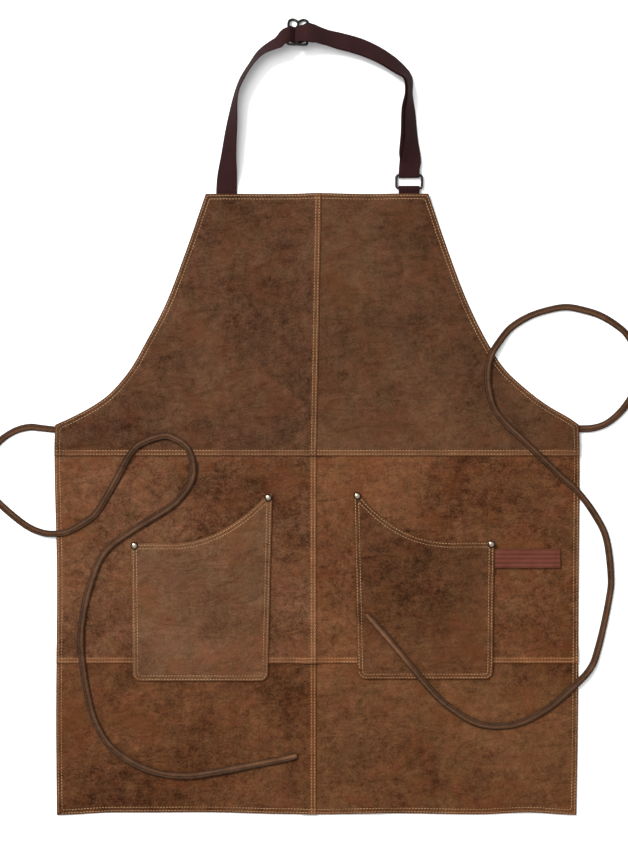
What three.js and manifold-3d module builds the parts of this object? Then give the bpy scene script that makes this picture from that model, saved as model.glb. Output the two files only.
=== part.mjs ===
// A leather bib apron that lies flat with its front up.
// Millimetres: x runs to the right, y towards the neck and z up from the surface that it lies on.
// The origin is on that surface, under the middle of the apron.
import * as THREE from "three";
import { mergeVertices } from "three/addons/utils/BufferGeometryUtils.js";
import Module from "manifold-3d";

const { clamp, degToRad, lerp, smoothstep } = THREE.MathUtils;

// Leather, the clearance between pieces that lie on each other, and the slack of webbing round wire
const LEATHER = 1.4;
const GAP = 0.3;
const SLACK = 0.1;
const LAYER = LEATHER + GAP;

// Outline of the apron
const WAIST_HALF = 327;
const WAIST_Y = -11;
const BOTTOM_Y = -498.5;
const BIB_TOP_Y = 277.5;

// Waves of the lower edge, with how far up each bends it, and the bib's small peak at its seam
const HEM_WAVES = [
  { x: -325, rise: 0 },
  { x: -250, rise: 3.1 },
  { x: -146, rise: 3.5 },
  { x: -34, rise: 1.2 },
  { x: 0, rise: 0.6 },
  { x: 95, rise: 2.1 },
  { x: 200, rise: 0.6 },
  { x: 262, rise: 3.1 },
  { x: 325, rise: 0 },
];
const HEM_WAVE_REACH = 110;
const BIB_PEAK = { rise: 1.2, width: 30, reach: 60 };

// Sides of the outline, from the lower edge to the waist and from there to the bib's top
const SIDES = [
  { y: BOTTOM_Y, left: -325, right: 324 },
  { y: -380, left: -326, right: 326 },
  { y: -200, left: -325, right: 327 },
  { y: -60, left: -328, right: 328 },
  { y: WAIST_Y, left: -WAIST_HALF, right: WAIST_HALF },
];
const ARMHOLE = [
  { y: WAIST_Y, left: -WAIST_HALF, right: WAIST_HALF },
  { y: -2, left: -307, right: 314 },
  { y: 12, left: -281, right: 290 },
  { y: 28, left: -259, right: 268 },
  { y: 57, left: -234, right: 236 },
  { y: 88, left: -216, right: 215 },
  { y: 140, left: -189, right: 189 },
  { y: 200, left: -166, right: 166 },
  { y: BIB_TOP_Y, left: -139, right: 139 },
];

// Lapped seams between the six panels, and the hem turned under along the outline
const UPPER_SEAM_Y = -50;
const LOWER_SEAM_Y = -309;
const SEAM_LAP = 13;
const LAP_FALL = 12;
const SEAM_TOP_X = 5.5;
const SEAM_WAIST_X = -0.5;
const HEM = 12.5;
const HEM_FALL = 3;

// Distances of the panels' columns from the free edge and from the centre seam: one column is on the hem
// and the next just past it
const ON_HEM = 12;
const PAST_HEM = 16;
const EDGE_COLUMNS = [0, ON_HEM, PAST_HEM, 40, 72];
const SEAM_COLUMNS = [0, SEAM_LAP, SEAM_LAP + LAP_FALL];
const FIELD_COLUMNS = 4;

// Gentle folds: where each ridge is, how it is turned (degrees), and its half sizes and height
const FOLDS = [
  { x: -215, y: 60, turn: 62, length: 90, width: 26, height: 2.6 },
  { x: 190, y: 70, turn: 118, length: 80, width: 28, height: 2.4 },
  { x: -95, y: 175, turn: 75, length: 80, width: 30, height: 1.8 },
  { x: 105, y: 190, turn: 100, length: 70, width: 26, height: 1.6 },
  { x: -190, y: -430, turn: 80, length: 60, width: 34, height: 2.2 },
  { x: 60, y: -450, turn: 95, length: 55, width: 30, height: 1.8 },
  { x: 250, y: -440, turn: 100, length: 60, width: 30, height: 2.2 },
];

// Patch pockets, mirrored about a line just left of the middle
const POCKET_MIRROR_X = -4;
const POCKET_INNER = 51.6;
const POCKET_WIDTH = 177;
const POCKET_INNER_TAPER = 5.6;
const POCKET_OUTER_TAPER = 2.5;
const POCKET_BOTTOM_Y = -331;
const POCKET_TOP_Y = -97;
const POCKET_CORNER = 10;
const POCKET_HEM = 11;
const MOUTH_LOW_Y = -159;
const MOUTH_RISE = 68;
const MOUTH_REACH = 130;

// How far the mouth stands open, between which shares of the width it rises and falls, and how far above
// the bottom and below the mouth it starts and ends
const GAPE = { height: 6.5, rise: [0.08, 0.34], fall: [0.66, 0.92], low: 40, high: 20 };

// Columns and rows of the pockets: distances from a side and from the mouth, and shares of the rest
const POCKET_SIDE_COLUMNS = [0, 4, POCKET_HEM, POCKET_HEM + 4];
const POCKET_COLUMNS = [0.22, 0.34, 0.5, 0.66, 0.78];
const POCKET_ROWS = [0.25, 0.5, 0.76, 0.836];
const POCKET_MOUTH_ROWS = [POCKET_HEM + 4, POCKET_HEM, 6, 0];

// The two pockets: which side of the mirror line, how far each sits off its mirrored place, and how
// steeply its mouth falls
const POCKETS = [
  { side: "left", hand: -1, x: 0, y: 0, power: 2.15 },
  { side: "right", hand: 1, x: -2.5, y: 2.2, power: 2.45 },
];

// Rivets at the ends of the pocket mouths; rim is the share of a head's height that its upright rim takes
const RIVET_HEAD = { radius: 4.75, height: 2.6, rim: 0.2 };
const RIVET_POST_RADIUS = 1.5;
const RIVET_BACK = { radius: 4, low: 0.15, high: 1.05 };
const RIVET_SIDES = 12;
const RIVETS = [
  { place: "outer", share: 0.977, y: -162 },
  { place: "inner", share: 0.029, y: -102 },
];

// Webbing of the neck strap, the ring's tab and the side tab, and how far beside the side tab the pocket
// edge over it stays lifted and comes down
const STRAP = { width: 26, thickness: 1.5 };
const SIDE_TAB = { left: 214, right: 304, y: -178, width: 24, thickness: 1.1, space: 0.5 };
const SIDE_TAB_LIFT = { near: 3.5, far: 10 };

// The neck loop seen from above: the middle of the webbing, and how far it leans out (degrees)
const LOOP = [
  { x: -113, y: 252, lean: 0 },
  { x: -113, y: 284, lean: 3 },
  { x: -111, y: 322, lean: 38 },
  { x: -107, y: 362, lean: 56 },
  { x: -101.5, y: 402, lean: 76 },
  { x: -94, y: 421, lean: 74 },
  { x: -82, y: 440, lean: 73 },
  { x: -69.5, y: 454, lean: 64 },
  { x: -46, y: 466.4, lean: 47 },
  { x: -24, y: 474, lean: 30 },
  { x: 4, y: 471.8, lean: 33 },
  { x: 29, y: 467, lean: 33 },
  { x: 54, y: 460, lean: 34 },
  { x: 79, y: 448.5, lean: 41 },
  { x: 100, y: 434, lean: 50 },
  { x: 113, y: 421, lean: 66 },
  { x: 114.8, y: 402, lean: 74 },
  { x: 115.3, y: 380, lean: 60 },
  { x: 116.8, y: 345, lean: 49 },
  { x: 117.5, y: 322, lean: 26 },
  { x: 115, y: 308, lean: 3 },
  { x: 115, y: 288, lean: 0 },
];
const SLIDER_ROW = 9;
const LOOP_STEPS = 20;
const TRAVEL_STEP = 3;

// Metal slider and ring, bent from round wire
const WIRE_RADIUS = 1.6;
const WIRE_SIDES = 8;
const WIRE_ROUNDING = 0.28;
const WIRE_STEPS = 36;
const SLIDER_STEPS = 50;
const WRAP_RADIUS = WIRE_RADIUS + GAP + SLACK + STRAP.thickness / 2;
const SLIDER = { length: 24, heading: -2, shift: -5.7, lift: 6, lift_reach: 40, straight: 14, blend: 27 };
const SLIDER_BAR = { low: -20.7, high: 16.2 };
const RING = { x: 115, low_y: 284, high_y: 301, width: 32, approach: 30 };

// One half of the slider's wire, along the webbing and across it: square at its inner end, and a round
// lobe at its outer end that dips to the middle bar
const SLIDER_WIRE = [
  { along: 0, across: -20.7 },
  { along: 9.4, across: -20.7 },
  { along: 11.4, across: -20.1 },
  { along: 12, across: -18.2 },
  { along: 12, across: -6 },
  { along: 12, across: 6 },
  { along: 12, across: 13.2 },
  { along: 10.6, across: 17 },
  { along: 6.9, across: 18.6 },
  { along: 3.2, across: 17.3 },
];
const SLIDER_DIP = { along: 0, across: 15 };

// The webbing is double from the slider to the ring: half the distance between its two layers, and how
// far the lower one lies to the inside on the way down to the ring
const LAYER_HALF = 1.05;
const LAYER_SPREAD = { aside: 6.5, start: 122, full: 92, narrow: 34, end: 14 };

// The strap's free runs up to the slider and from there to the ring: how far each keeps from them, and
// the steps between its points
const FREE_RUN = { before_slider: 50, past_slider: 52, before_ring: 26, rising: 18, falling: 16 };
const RING_TAB = { end_y: 252, low_y: 266, top_y: 268, rise: 0.7 };

// Leather ties: a flat lace of eight sides, how far of it is hidden, over what length it rises from there,
// how far beside the apron it comes down, and where each runs seen from above
const TIE = { width: 8.5, thickness: 3.2, corner: 1, steps: 72, clearance: 0.4, reach: 20 };
const TIE_HIDDEN = 60;
const TIE_RISE = 25;
const TIE_DROP = { near: 2, far: 12 };
const TIE_LEFT = [
  [-305, -17], [-326, -17], [-345, -15], [-360, -14], [-378, -19], [-396, -31], [-411, -50],
  [-417, -71], [-411, -92], [-396, -110], [-366, -135], [-345, -145], [-327, -147], [-310, -144],
  [-289, -132], [-274, -119], [-251, -80], [-237, -54], [-222, -36], [-193, -25], [-176, -29],
  [-161, -41], [-155, -59], [-156, -78], [-169, -100], [-187, -116], [-232, -144], [-266, -171],
  [-285, -217], [-294, -265], [-293, -305], [-286, -349], [-277, -381], [-259, -411], [-231, -432],
  [-199, -445], [-166, -449], [-129, -445], [-50, -430], [-25, -424],
];
const TIE_RIGHT = [
  [307, -17], [328, -16], [345, -15], [362, -9], [379, 5], [393, 24], [402, 46], [402, 74],
  [389, 99], [376, 112], [355, 125], [334, 132], [311, 136], [287, 132], [264, 124], [242, 110],
  [227, 92], [217, 75], [213, 55], [214, 34], [221, 10], [235, -9], [256, -29], [305, -76],
  [324, -93], [346, -122], [361, -152], [367, -197], [365, -227], [352, -287], [340, -317],
  [311, -346], [285, -367], [256, -382], [230, -387], [201, -384], [175, -370], [146, -346],
  [96, -286], [62, -247],
];

// What lies between the apron and the surface, and how far it lifts the leather
const STRAP_PAD = STRAP.thickness + GAP + SLACK;
const RING_PAD = 4.7;
const TIE_PAD = TIE.thickness + 2 * (GAP + SLACK);
const PADS = [
  { x0: -131, x1: -97, y0: 248, y1: BIB_TOP_Y, height: STRAP_PAD, fall: 26 },
  { x0: 98, x1: 131, y0: 248, y1: BIB_TOP_Y, height: RING_PAD, fall: 26 },
  { x0: -WAIST_HALF, x1: -284, y0: -26, y1: -9, height: TIE_PAD, fall: 34 },
  { x0: 284, x1: WAIST_HALF, y0: -26, y1: -9, height: TIE_PAD, fall: 34 },
];

const material = (color, roughness, metalness) =>
  new THREE.MeshStandardMaterial({ color, roughness, metalness });
const BROWN_LEATHER = material(0x6b462b, 0.62, 0);
const TIE_LEATHER = material(0x6a4a38, 0.6, 0);
const DARK_WEBBING = material(0x35201f, 0.85, 0);
const RED_WEBBING = material(0x74382f, 0.85, 0);
const BLACK_METAL = material(0x2b2927, 0.35, 0.9);
const SILVER_METAL = material(0xc9c2b8, 0.25, 1);

// Panels from the lowest layer to the highest
const PANELS = [
  { name: "bottom_right", side: "right", low: BOTTOM_Y, high: LOWER_SEAM_Y + SEAM_LAP },
  { name: "bottom_left", side: "left", low: BOTTOM_Y, high: LOWER_SEAM_Y + SEAM_LAP },
  { name: "middle_right", side: "right", low: LOWER_SEAM_Y, high: UPPER_SEAM_Y + SEAM_LAP },
  { name: "middle_left", side: "left", low: LOWER_SEAM_Y, high: UPPER_SEAM_Y + SEAM_LAP },
  { name: "bib_right", side: "right", low: UPPER_SEAM_Y, high: BIB_TOP_Y },
  { name: "bib_left", side: "left", low: UPPER_SEAM_Y, high: BIB_TOP_Y },
];

// Heights of the panels' rows that every panel may use: laps, hems, armhole and even steps between
const ROWS = [
  BOTTOM_Y, BOTTOM_Y + ON_HEM, BOTTOM_Y + PAST_HEM, -455, -420, -385, -350, LOWER_SEAM_Y - LAP_FALL,
  LOWER_SEAM_Y, LOWER_SEAM_Y + SEAM_LAP, LOWER_SEAM_Y + SEAM_LAP + LAP_FALL, -250, -210, -170,
  -130, -95, UPPER_SEAM_Y - LAP_FALL, UPPER_SEAM_Y, UPPER_SEAM_Y + SEAM_LAP,
  UPPER_SEAM_Y + SEAM_LAP + LAP_FALL, WAIST_Y, -2, 12, 28, 57, 88, 114, 140, 170, 200, 228, 248,
  BIB_TOP_Y - PAST_HEM, BIB_TOP_Y - ON_HEM, BIB_TOP_Y,
];

const wasm = await Module();
wasm.setup();

// Smooth value of one column of a table whose rows rise in y
function tableValue(rows, y, column) {
  const last = rows.length - 1;
  const row = (i) => rows[clamp(i, 0, last)];
  const slope = (i) => (row(i + 1)[column] - row(i - 1)[column]) / (row(i + 1).y - row(i - 1).y);
  let i = 0;
  while (i < last - 1 && y > rows[i + 1].y) i++;
  const span = rows[i + 1].y - rows[i].y;
  const t = clamp((y - rows[i].y) / span, 0, 1);
  const start = rows[i][column];
  const end = rows[i + 1][column];
  const ease = t * t * (3 - 2 * t);
  const swing = slope(i) * t * (1 - t) ** 2 - slope(i + 1) * t * t * (1 - t);
  return start + (end - start) * ease + span * swing;
}

function edgeX(side, y) {
  return tableValue(y > WAIST_Y ? ARMHOLE : SIDES, y, side);
}

// The visible edge of the centre seam, where the left panels lap over the right ones
function seamX(y) {
  const share = clamp((y - UPPER_SEAM_Y) / (BIB_TOP_Y - UPPER_SEAM_Y), 0, 1);
  return lerp(SEAM_WAIST_X, SEAM_TOP_X, share);
}

function panelSpan(panel, y) {
  if (panel.side === "left") return [edgeX("left", y), seamX(y)];
  return [seamX(y) - SEAM_LAP, edgeX("right", y)];
}

// 1 over a panel, falling to 0 beside it, so that what lies on it comes down smoothly
function panelCover(panel, x, y) {
  const [left, right] = panelSpan(panel, clamp(y, panel.low, panel.high));
  const outside = Math.max(left - x, x - right, panel.low - y, y - panel.high);
  return 1 - smoothstep(outside, GAP, LAP_FALL - GAP);
}

const OUTLINE = makeOutline();

function makeOutline() {
  const leftSide = ROWS.map((y) => new THREE.Vector2(edgeX("left", y), y));
  const rightSide = ROWS.map((y) => new THREE.Vector2(edgeX("right", y), y));
  return [...leftSide, ...rightSide.reverse()];
}

// Distance to the nearest free edge of the apron
function edgeDistance(x, y) {
  const point = new THREE.Vector2(x, y);
  const nearest = OUTLINE.map((start, i) => {
    const along = OUTLINE[(i + 1) % OUTLINE.length].clone().sub(start);
    const share = clamp(point.clone().sub(start).dot(along) / along.lengthSq(), 0, 1);
    return start.clone().addScaledVector(along, share).distanceTo(point);
  });
  return Math.min(...nearest);
}

function padHeight(x, y) {
  const heights = PADS.map((pad) => {
    const dx = Math.max(pad.x0 - x, x - pad.x1, 0);
    const dy = Math.max(pad.y0 - y, y - pad.y1, 0);
    return pad.height * (1 - smoothstep(Math.hypot(dx, dy), 0, pad.fall));
  });
  return Math.max(...heights);
}

function foldHeight(x, y) {
  return FOLDS.reduce((sum, fold) => {
    const turn = degToRad(fold.turn);
    const dx = x - fold.x;
    const dy = y - fold.y;
    const along = (dx * Math.cos(turn) + dy * Math.sin(turn)) / fold.length;
    const across = (dy * Math.cos(turn) - dx * Math.sin(turn)) / fold.width;
    return sum + fold.height * Math.exp(-along * along - across * across);
  }, 0);
}

// Underside of a sheet's main layer, with the first few panels of the stack below it
function sheetLevel(layersBelow, x, y) {
  const covers = PANELS.slice(0, layersBelow).map((panel) => panelCover(panel, x, y));
  const stack = covers.reduce((sum, cover) => sum + cover * LAYER, 0);
  return LEATHER + padHeight(x, y) + foldHeight(x, y) + stack;
}

// Turns the faces of a closed mesh so that they point out
function faceOutward(geometry) {
  const points = geometry.getAttribute("position");
  const index = geometry.index.array;
  const corner = (i) => new THREE.Vector3().fromBufferAttribute(points, index[i]);
  let volume = 0;
  for (let i = 0; i < index.length; i += 3) {
    volume += corner(i).dot(corner(i + 1).cross(corner(i + 2)));
  }
  if (volume < 0) index.reverse();
  return geometry;
}

function closedGeometry(points, faces) {
  const geometry = new THREE.BufferGeometry().setFromPoints(points);
  geometry.setIndex(faces.flat());
  return faceOutward(geometry);
}

// How far the waves of the lower edge and the peak of the bib shift the leather
function edgeRise(x, y) {
  const i = clamp(HEM_WAVES.findIndex((row) => row.x >= x), 1, HEM_WAVES.length - 1);
  const [a, b] = [HEM_WAVES[i - 1], HEM_WAVES[i]];
  const wave = lerp(a.rise, b.rise, smoothstep(x, a.x, b.x));
  const low = 1 - smoothstep(y, BOTTOM_Y + ON_HEM, BOTTOM_Y + HEM_WAVE_REACH);
  const peak = BIB_PEAK.rise * Math.exp(-(((x - SEAM_TOP_X) / BIB_PEAK.width) ** 2));
  return wave * low + peak * smoothstep(y, BIB_TOP_Y - BIB_PEAK.reach, BIB_TOP_Y - ON_HEM);
}

// A closed sheet over a grid of plan points, between an under and an over height
function sheetGeometry(grid, under, over) {
  const rows = grid.length;
  const columns = grid[0].length;
  const place = (x, y, height) => new THREE.Vector3(x, y + edgeRise(x, y), height(x, y));
  const at = (height) => grid.flat().map(([x, y]) => place(x, y, height));
  const lower = (i, j) => i * columns + j;
  const upper = (i, j) => rows * columns + lower(i, j);
  const faces = [];
  const quad = (a, b, c, d) => faces.push([a, b, c], [a, c, d]);
  for (let i = 0; i < rows - 1; i++) {
    for (let j = 0; j < columns - 1; j++) {
      quad(upper(i, j), upper(i, j + 1), upper(i + 1, j + 1), upper(i + 1, j));
      faces.push([lower(i, j), lower(i + 1, j + 1), lower(i, j + 1)]);
      faces.push([lower(i, j), lower(i + 1, j), lower(i + 1, j + 1)]);
    }
  }
  for (let j = 0; j < columns - 1; j++) {
    const end = rows - 1;
    quad(lower(0, j), lower(0, j + 1), upper(0, j + 1), upper(0, j));
    quad(lower(end, j + 1), lower(end, j), upper(end, j), upper(end, j + 1));
  }
  for (let i = 0; i < rows - 1; i++) {
    const end = columns - 1;
    quad(lower(i + 1, 0), lower(i, 0), upper(i, 0), upper(i + 1, 0));
    quad(lower(i, end), lower(i + 1, end), upper(i + 1, end), upper(i, end));
  }
  return closedGeometry([...at(under), ...at(over)], faces);
}

// A closed tube through rings of points that all go round the same way
function ringsGeometry(rings) {
  const count = rings[0].length;
  const faces = [];
  for (let i = 0; i < rings.length - 1; i++) {
    for (let k = 0; k < count; k++) {
      const a = i * count + k;
      const b = i * count + ((k + 1) % count);
      faces.push([a, b, b + count], [a, b + count, a + count]);
    }
  }
  const end = (rings.length - 1) * count;
  for (let k = 1; k < count - 1; k++) {
    faces.push([0, k + 1, k], [end, end + k, end + k + 1]);
  }
  return closedGeometry(rings.flat(), faces);
}

// A flat band through stations that give its middle, its width direction and its thickness direction
function bandGeometry(stations, { width, thickness }) {
  const rings = stations.map(({ middle, side, up }) => {
    const corners = [[-1, -1], [1, -1], [1, 1], [-1, 1]];
    return corners.map(([a, b]) =>
      middle.clone().addScaledVector(side, (a * width) / 2).addScaledVector(up, (b * thickness) / 2),
    );
  });
  return ringsGeometry(rings);
}

function toSolid(geometry) {
  const plain = geometry.clone();
  plain.deleteAttribute("normal");
  plain.deleteAttribute("uv");
  const merged = mergeVertices(plain);
  const vertProperties = merged.getAttribute("position").array;
  const triVerts = new Uint32Array(merged.index.array);
  return new wasm.Manifold(new wasm.Mesh({ numProp: 3, vertProperties, triVerts }));
}

function toGeometry(solid) {
  const { vertProperties, triVerts } = solid.getMesh();
  const geometry = new THREE.BufferGeometry();
  geometry.setAttribute("position", new THREE.BufferAttribute(vertProperties, 3));
  return geometry.setIndex(new THREE.BufferAttribute(triVerts, 1));
}

const apron = new THREE.Group();

function addPiece(name, geometry, finish, parent = apron) {
  geometry.computeVertexNormals();
  const mesh = new THREE.Mesh(geometry, finish);
  mesh.name = name;
  parent.add(mesh);
}

// Panels

function panelGrid(panel) {
  const heights = ROWS.filter((y) => y >= panel.low && y <= panel.high);
  const outer = EDGE_COLUMNS.at(-1);
  const inner = SEAM_COLUMNS.at(-1);
  return heights.map((y) => {
    const [left, right] = panelSpan(panel, y);
    const step = (right - left - outer - inner) / (FIELD_COLUMNS + 1);
    const middle = Array.from({ length: FIELD_COLUMNS }, (_, k) => outer + step * (k + 1));
    const seam = SEAM_COLUMNS.map((offset) => right - left - offset).reverse();
    const offsets = [...EDGE_COLUMNS, ...middle, ...seam];
    const xs = offsets.map((offset) => (panel.side === "left" ? left + offset : right - offset));
    return xs.map((x) => [x, y]);
  });
}

function panelGeometry(panel) {
  const layersBelow = PANELS.indexOf(panel);
  const below = PANELS.slice(0, layersBelow);
  const lap = (x, y) => Math.max(0, ...below.map((other) => panelCover(other, x, y)));
  const hem = (x, y) => 1 - smoothstep(edgeDistance(x, y), HEM, HEM + HEM_FALL);
  const main = (x, y) => sheetLevel(layersBelow, x, y);
  const under = (x, y) => main(x, y) - LEATHER * hem(x, y) * (1 - lap(x, y));
  const over = (x, y) => main(x, y) + LEATHER;
  return sheetGeometry(panelGrid(panel), under, over);
}

// Pockets

function mouthY(pocket, share) {
  const rise = Math.max(0, 1 - (share * POCKET_WIDTH) / MOUTH_REACH) ** pocket.power;
  return pocket.y + Math.min(POCKET_TOP_Y, MOUTH_LOW_Y + MOUTH_RISE * rise);
}

// Inner and outer side of a pocket, as distances from its mirror line
function pocketSides(pocket, y) {
  const down = clamp((POCKET_TOP_Y + pocket.y - y) / (POCKET_TOP_Y - POCKET_BOTTOM_Y), 0, 1);
  const inner = POCKET_INNER + POCKET_INNER_TAPER * down;
  const outer = POCKET_INNER + POCKET_WIDTH - POCKET_OUTER_TAPER * down;
  return [inner, outer];
}

function pocketX(pocket, share, y) {
  const [inner, outer] = pocketSides(pocket, y);
  return POCKET_MIRROR_X + pocket.x + pocket.hand * lerp(inner, outer, share);
}

function pocketShare(pocket, x, y) {
  const [inner, outer] = pocketSides(pocket, y);
  return (pocket.hand * (x - POCKET_MIRROR_X - pocket.x) - inner) / (outer - inner);
}

// How far the front of a pocket stands off the panel behind it
function pocketGape(pocket, share, y) {
  const across = smoothstep(share, ...GAPE.rise) * (1 - smoothstep(share, ...GAPE.fall));
  const up = smoothstep(y, POCKET_BOTTOM_Y + pocket.y + GAPE.low, mouthY(pocket, share) - GAPE.high);
  return GAPE.height * across * up;
}

// The side tab lifts the pocket edge that is sewn over it
function sideTabCover(x, y) {
  const halfWidth = SIDE_TAB.width / 2;
  const outside = Math.max(SIDE_TAB.left - x, x - SIDE_TAB.right, Math.abs(y - SIDE_TAB.y) - halfWidth);
  return 1 - smoothstep(outside, SIDE_TAB_LIFT.near, SIDE_TAB_LIFT.far);
}

function sideTabHeight() {
  return 2 * SIDE_TAB.thickness + SIDE_TAB.space + GAP;
}

function pocketLevel(x, y) {
  return sheetLevel(PANELS.length, x, y) + sideTabCover(x, y) * sideTabHeight();
}

function pocketCornerRise(share) {
  const fromSide = Math.min(share, 1 - share) * POCKET_WIDTH;
  if (fromSide >= POCKET_CORNER) return 0;
  return POCKET_CORNER - Math.sqrt(POCKET_CORNER ** 2 - (POCKET_CORNER - fromSide) ** 2);
}

function pocketGrid(pocket) {
  const border = POCKET_SIDE_COLUMNS.map((offset) => offset / POCKET_WIDTH);
  const shares = [...border, ...POCKET_COLUMNS, ...border.map((share) => 1 - share).reverse()];
  const lapTop = LOWER_SEAM_Y + SEAM_LAP;
  const seamRows = [LOWER_SEAM_Y - LAP_FALL, LOWER_SEAM_Y - GAP, lapTop + GAP, lapTop + LAP_FALL];
  return shares.map((share) => {
    const mouth = mouthY(pocket, share);
    const rising = POCKET_ROWS.map((part) => lerp(seamRows[3], mouth - POCKET_MOUTH_ROWS[0], part));
    const low = POCKET_BOTTOM_Y + pocket.y + pocketCornerRise(share);
    const ys = [low, ...seamRows, ...rising, ...POCKET_MOUTH_ROWS.map((down) => mouth - down)];
    return ys.map((y) => [pocketX(pocket, share, y), y]);
  });
}

function pocketGeometry(pocket) {
  const fromEdge = (x, y) => {
    const share = pocketShare(pocket, x, y);
    const sides = Math.min(share, 1 - share) * POCKET_WIDTH;
    return Math.min(sides, y - POCKET_BOTTOM_Y - pocket.y, mouthY(pocket, share) - y);
  };
  const border = (x, y) => 1 - smoothstep(fromEdge(x, y), POCKET_HEM, POCKET_HEM + HEM_FALL);
  const gape = (x, y) => pocketGape(pocket, pocketShare(pocket, x, y), y);
  const main = (x, y) => pocketLevel(x, y) + LEATHER + gape(x, y);
  const under = (x, y) => main(x, y) - LEATHER * border(x, y);
  const over = (x, y) => main(x, y) + LEATHER;
  return sheetGeometry(pocketGrid(pocket), under, over);
}

function rivetPlaces(pocket) {
  return RIVETS.map(({ place, share, y }) => {
    const height = y + pocket.y;
    return { place, x: pocketX(pocket, share, height), y: height };
  });
}

function rivetGeometry(x, y) {
  const ring = [0, 60, 120, 180, 240, 300].map(degToRad);
  const tops = ring.map((turn) => {
    const px = x + RIVET_HEAD.radius * Math.cos(turn);
    const py = y + RIVET_HEAD.radius * Math.sin(turn);
    return pocketLevel(px, py);
  });
  const seat = Math.max(...tops) + 2 * LEATHER + GAP;
  const dome = [90, 65, 40, 15].map(degToRad).map((turn) => [
    RIVET_HEAD.radius * Math.sin(turn),
    seat + RIVET_HEAD.height * lerp(RIVET_HEAD.rim, 1, Math.cos(turn)),
  ]);
  const profile = [
    [0, RIVET_BACK.low],
    [RIVET_BACK.radius, RIVET_BACK.low],
    [RIVET_BACK.radius, RIVET_BACK.high],
    [RIVET_POST_RADIUS, RIVET_BACK.high],
    [RIVET_POST_RADIUS, seat],
    [RIVET_HEAD.radius, seat],
    ...dome,
    [0, seat + RIVET_HEAD.height],
  ];
  const points = profile.map(([radius, z]) => new THREE.Vector2(radius, z));
  const turned = new THREE.LatheGeometry(points, RIVET_SIDES).rotateX(Math.PI / 2).translate(x, y, 0);
  return toGeometry(toSolid(turned));
}

function drilled(geometry, places) {
  const depth = 60;
  const radius = RIVET_POST_RADIUS + GAP;
  const solid = places.reduce((rest, { x, y }) => {
    const drill = new THREE.CylinderGeometry(radius, radius, depth, RIVET_SIDES);
    return rest.subtract(toSolid(drill.rotateX(Math.PI / 2).translate(x, y, 0)));
  }, toSolid(geometry));
  return toGeometry(solid);
}

for (const panel of PANELS) {
  const pocket = POCKETS.find(({ side }) => panel.name === `middle_${side}`);
  const whole = panelGeometry(panel);
  addPiece(panel.name, pocket ? drilled(whole, rivetPlaces(pocket)) : whole, BROWN_LEATHER);
}
for (const pocket of POCKETS) {
  const places = rivetPlaces(pocket);
  addPiece(`pocket_${pocket.side}`, drilled(pocketGeometry(pocket), places), BROWN_LEATHER);
  for (const { place, x, y } of places) {
    addPiece(`rivet_${pocket.side}_${place}`, rivetGeometry(x, y), SILVER_METAL);
  }
}

// Neck loop: a plan curve with a lean, measured along its plan length

const LOOP_SAMPLES = makeLoopSamples();

function makeLoopSamples() {
  const rows = LOOP.map(({ x, y, lean }) => new THREE.Vector3(x, y, lean));
  const curve = new THREE.CatmullRomCurve3(rows, false, "centripetal");
  const samples = curve.getPoints(LOOP_STEPS * (LOOP.length - 1));
  let along = 0;
  return samples.map((point, i) => {
    if (i > 0) along += Math.hypot(point.x - samples[i - 1].x, point.y - samples[i - 1].y);
    return { along, x: point.x, y: point.y, lean: degToRad(point.z) };
  });
}

const SLIDER_ALONG = LOOP_SAMPLES[LOOP_STEPS * SLIDER_ROW].along;
const RING_ALONG = LOOP_SAMPLES.find(({ x, y }) => x > 0 && y < RING.high_y).along;

function loopPoint(along) {
  const last = LOOP_SAMPLES.length - 1;
  let i = 0;
  while (i < last - 1 && along > LOOP_SAMPLES[i + 1].along) i++;
  const [a, b] = [LOOP_SAMPLES[i], LOOP_SAMPLES[i + 1]];
  const share = clamp((along - a.along) / (b.along - a.along), 0, 1);
  return { x: lerp(a.x, b.x, share), y: lerp(a.y, b.y, share), lean: lerp(a.lean, b.lean, share) };
}

// Normal of webbing that leans out from its direction of travel
function leaned(travel, lean) {
  const normal = new THREE.Vector3(-travel.y, travel.x, 0).multiplyScalar(Math.sin(lean));
  normal.z = Math.cos(lean);
  return normal;
}

// The frame of the loop: the low outer edge of the webbing lies on the surface and its inner edge is up,
// the slider props it up, and it comes to the ring at the height of the ring's wire
function planFrame(along) {
  const here = loopPoint(along);
  const before = loopPoint(along - TRAVEL_STEP);
  const after = loopPoint(along + TRAVEL_STEP);
  const travel = new THREE.Vector3(after.x - before.x, after.y - before.y, 0).normalize();
  const normal = leaned(travel, here.lean);
  const propped = SLIDER.lift * Math.exp(-(((along - SLIDER_ALONG) / SLIDER.lift_reach) ** 2));
  const ringLift = (WRAP_RADIUS - LAYER_HALF) * smoothstep(along, RING_ALONG - RING.approach, RING_ALONG);
  const resting = (STRAP.width / 2) * Math.abs(Math.sin(here.lean));
  const thick = (STRAP.thickness / 2 + LAYER_HALF) * Math.cos(here.lean);
  const height = resting + thick + propped + ringLift;
  return { origin: new THREE.Vector3(here.x, here.y, height), travel, normal };
}

// The straight stretch that the slider holds
function heldFrame() {
  const { origin } = planFrame(SLIDER_ALONG);
  const heading = degToRad(SLIDER.heading);
  const travel = new THREE.Vector3(Math.cos(heading), Math.sin(heading), 0);
  return { origin, travel, normal: leaned(travel, loopPoint(SLIDER_ALONG).lean) };
}

// The frame along the loop, held straight through the slider
function loopFrame(along) {
  const { origin, travel, normal } = planFrame(along);
  const held = heldFrame();
  const offset = along - SLIDER_ALONG;
  const straight = 1 - smoothstep(Math.abs(offset), SLIDER.straight, SLIDER.blend);
  origin.lerp(held.origin.addScaledVector(held.travel, offset), straight);
  travel.lerp(held.travel, straight).normalize();
  normal.lerp(held.normal, straight).normalize();
  return { origin, travel, normal, side: travel.clone().cross(normal).normalize() };
}

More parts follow.
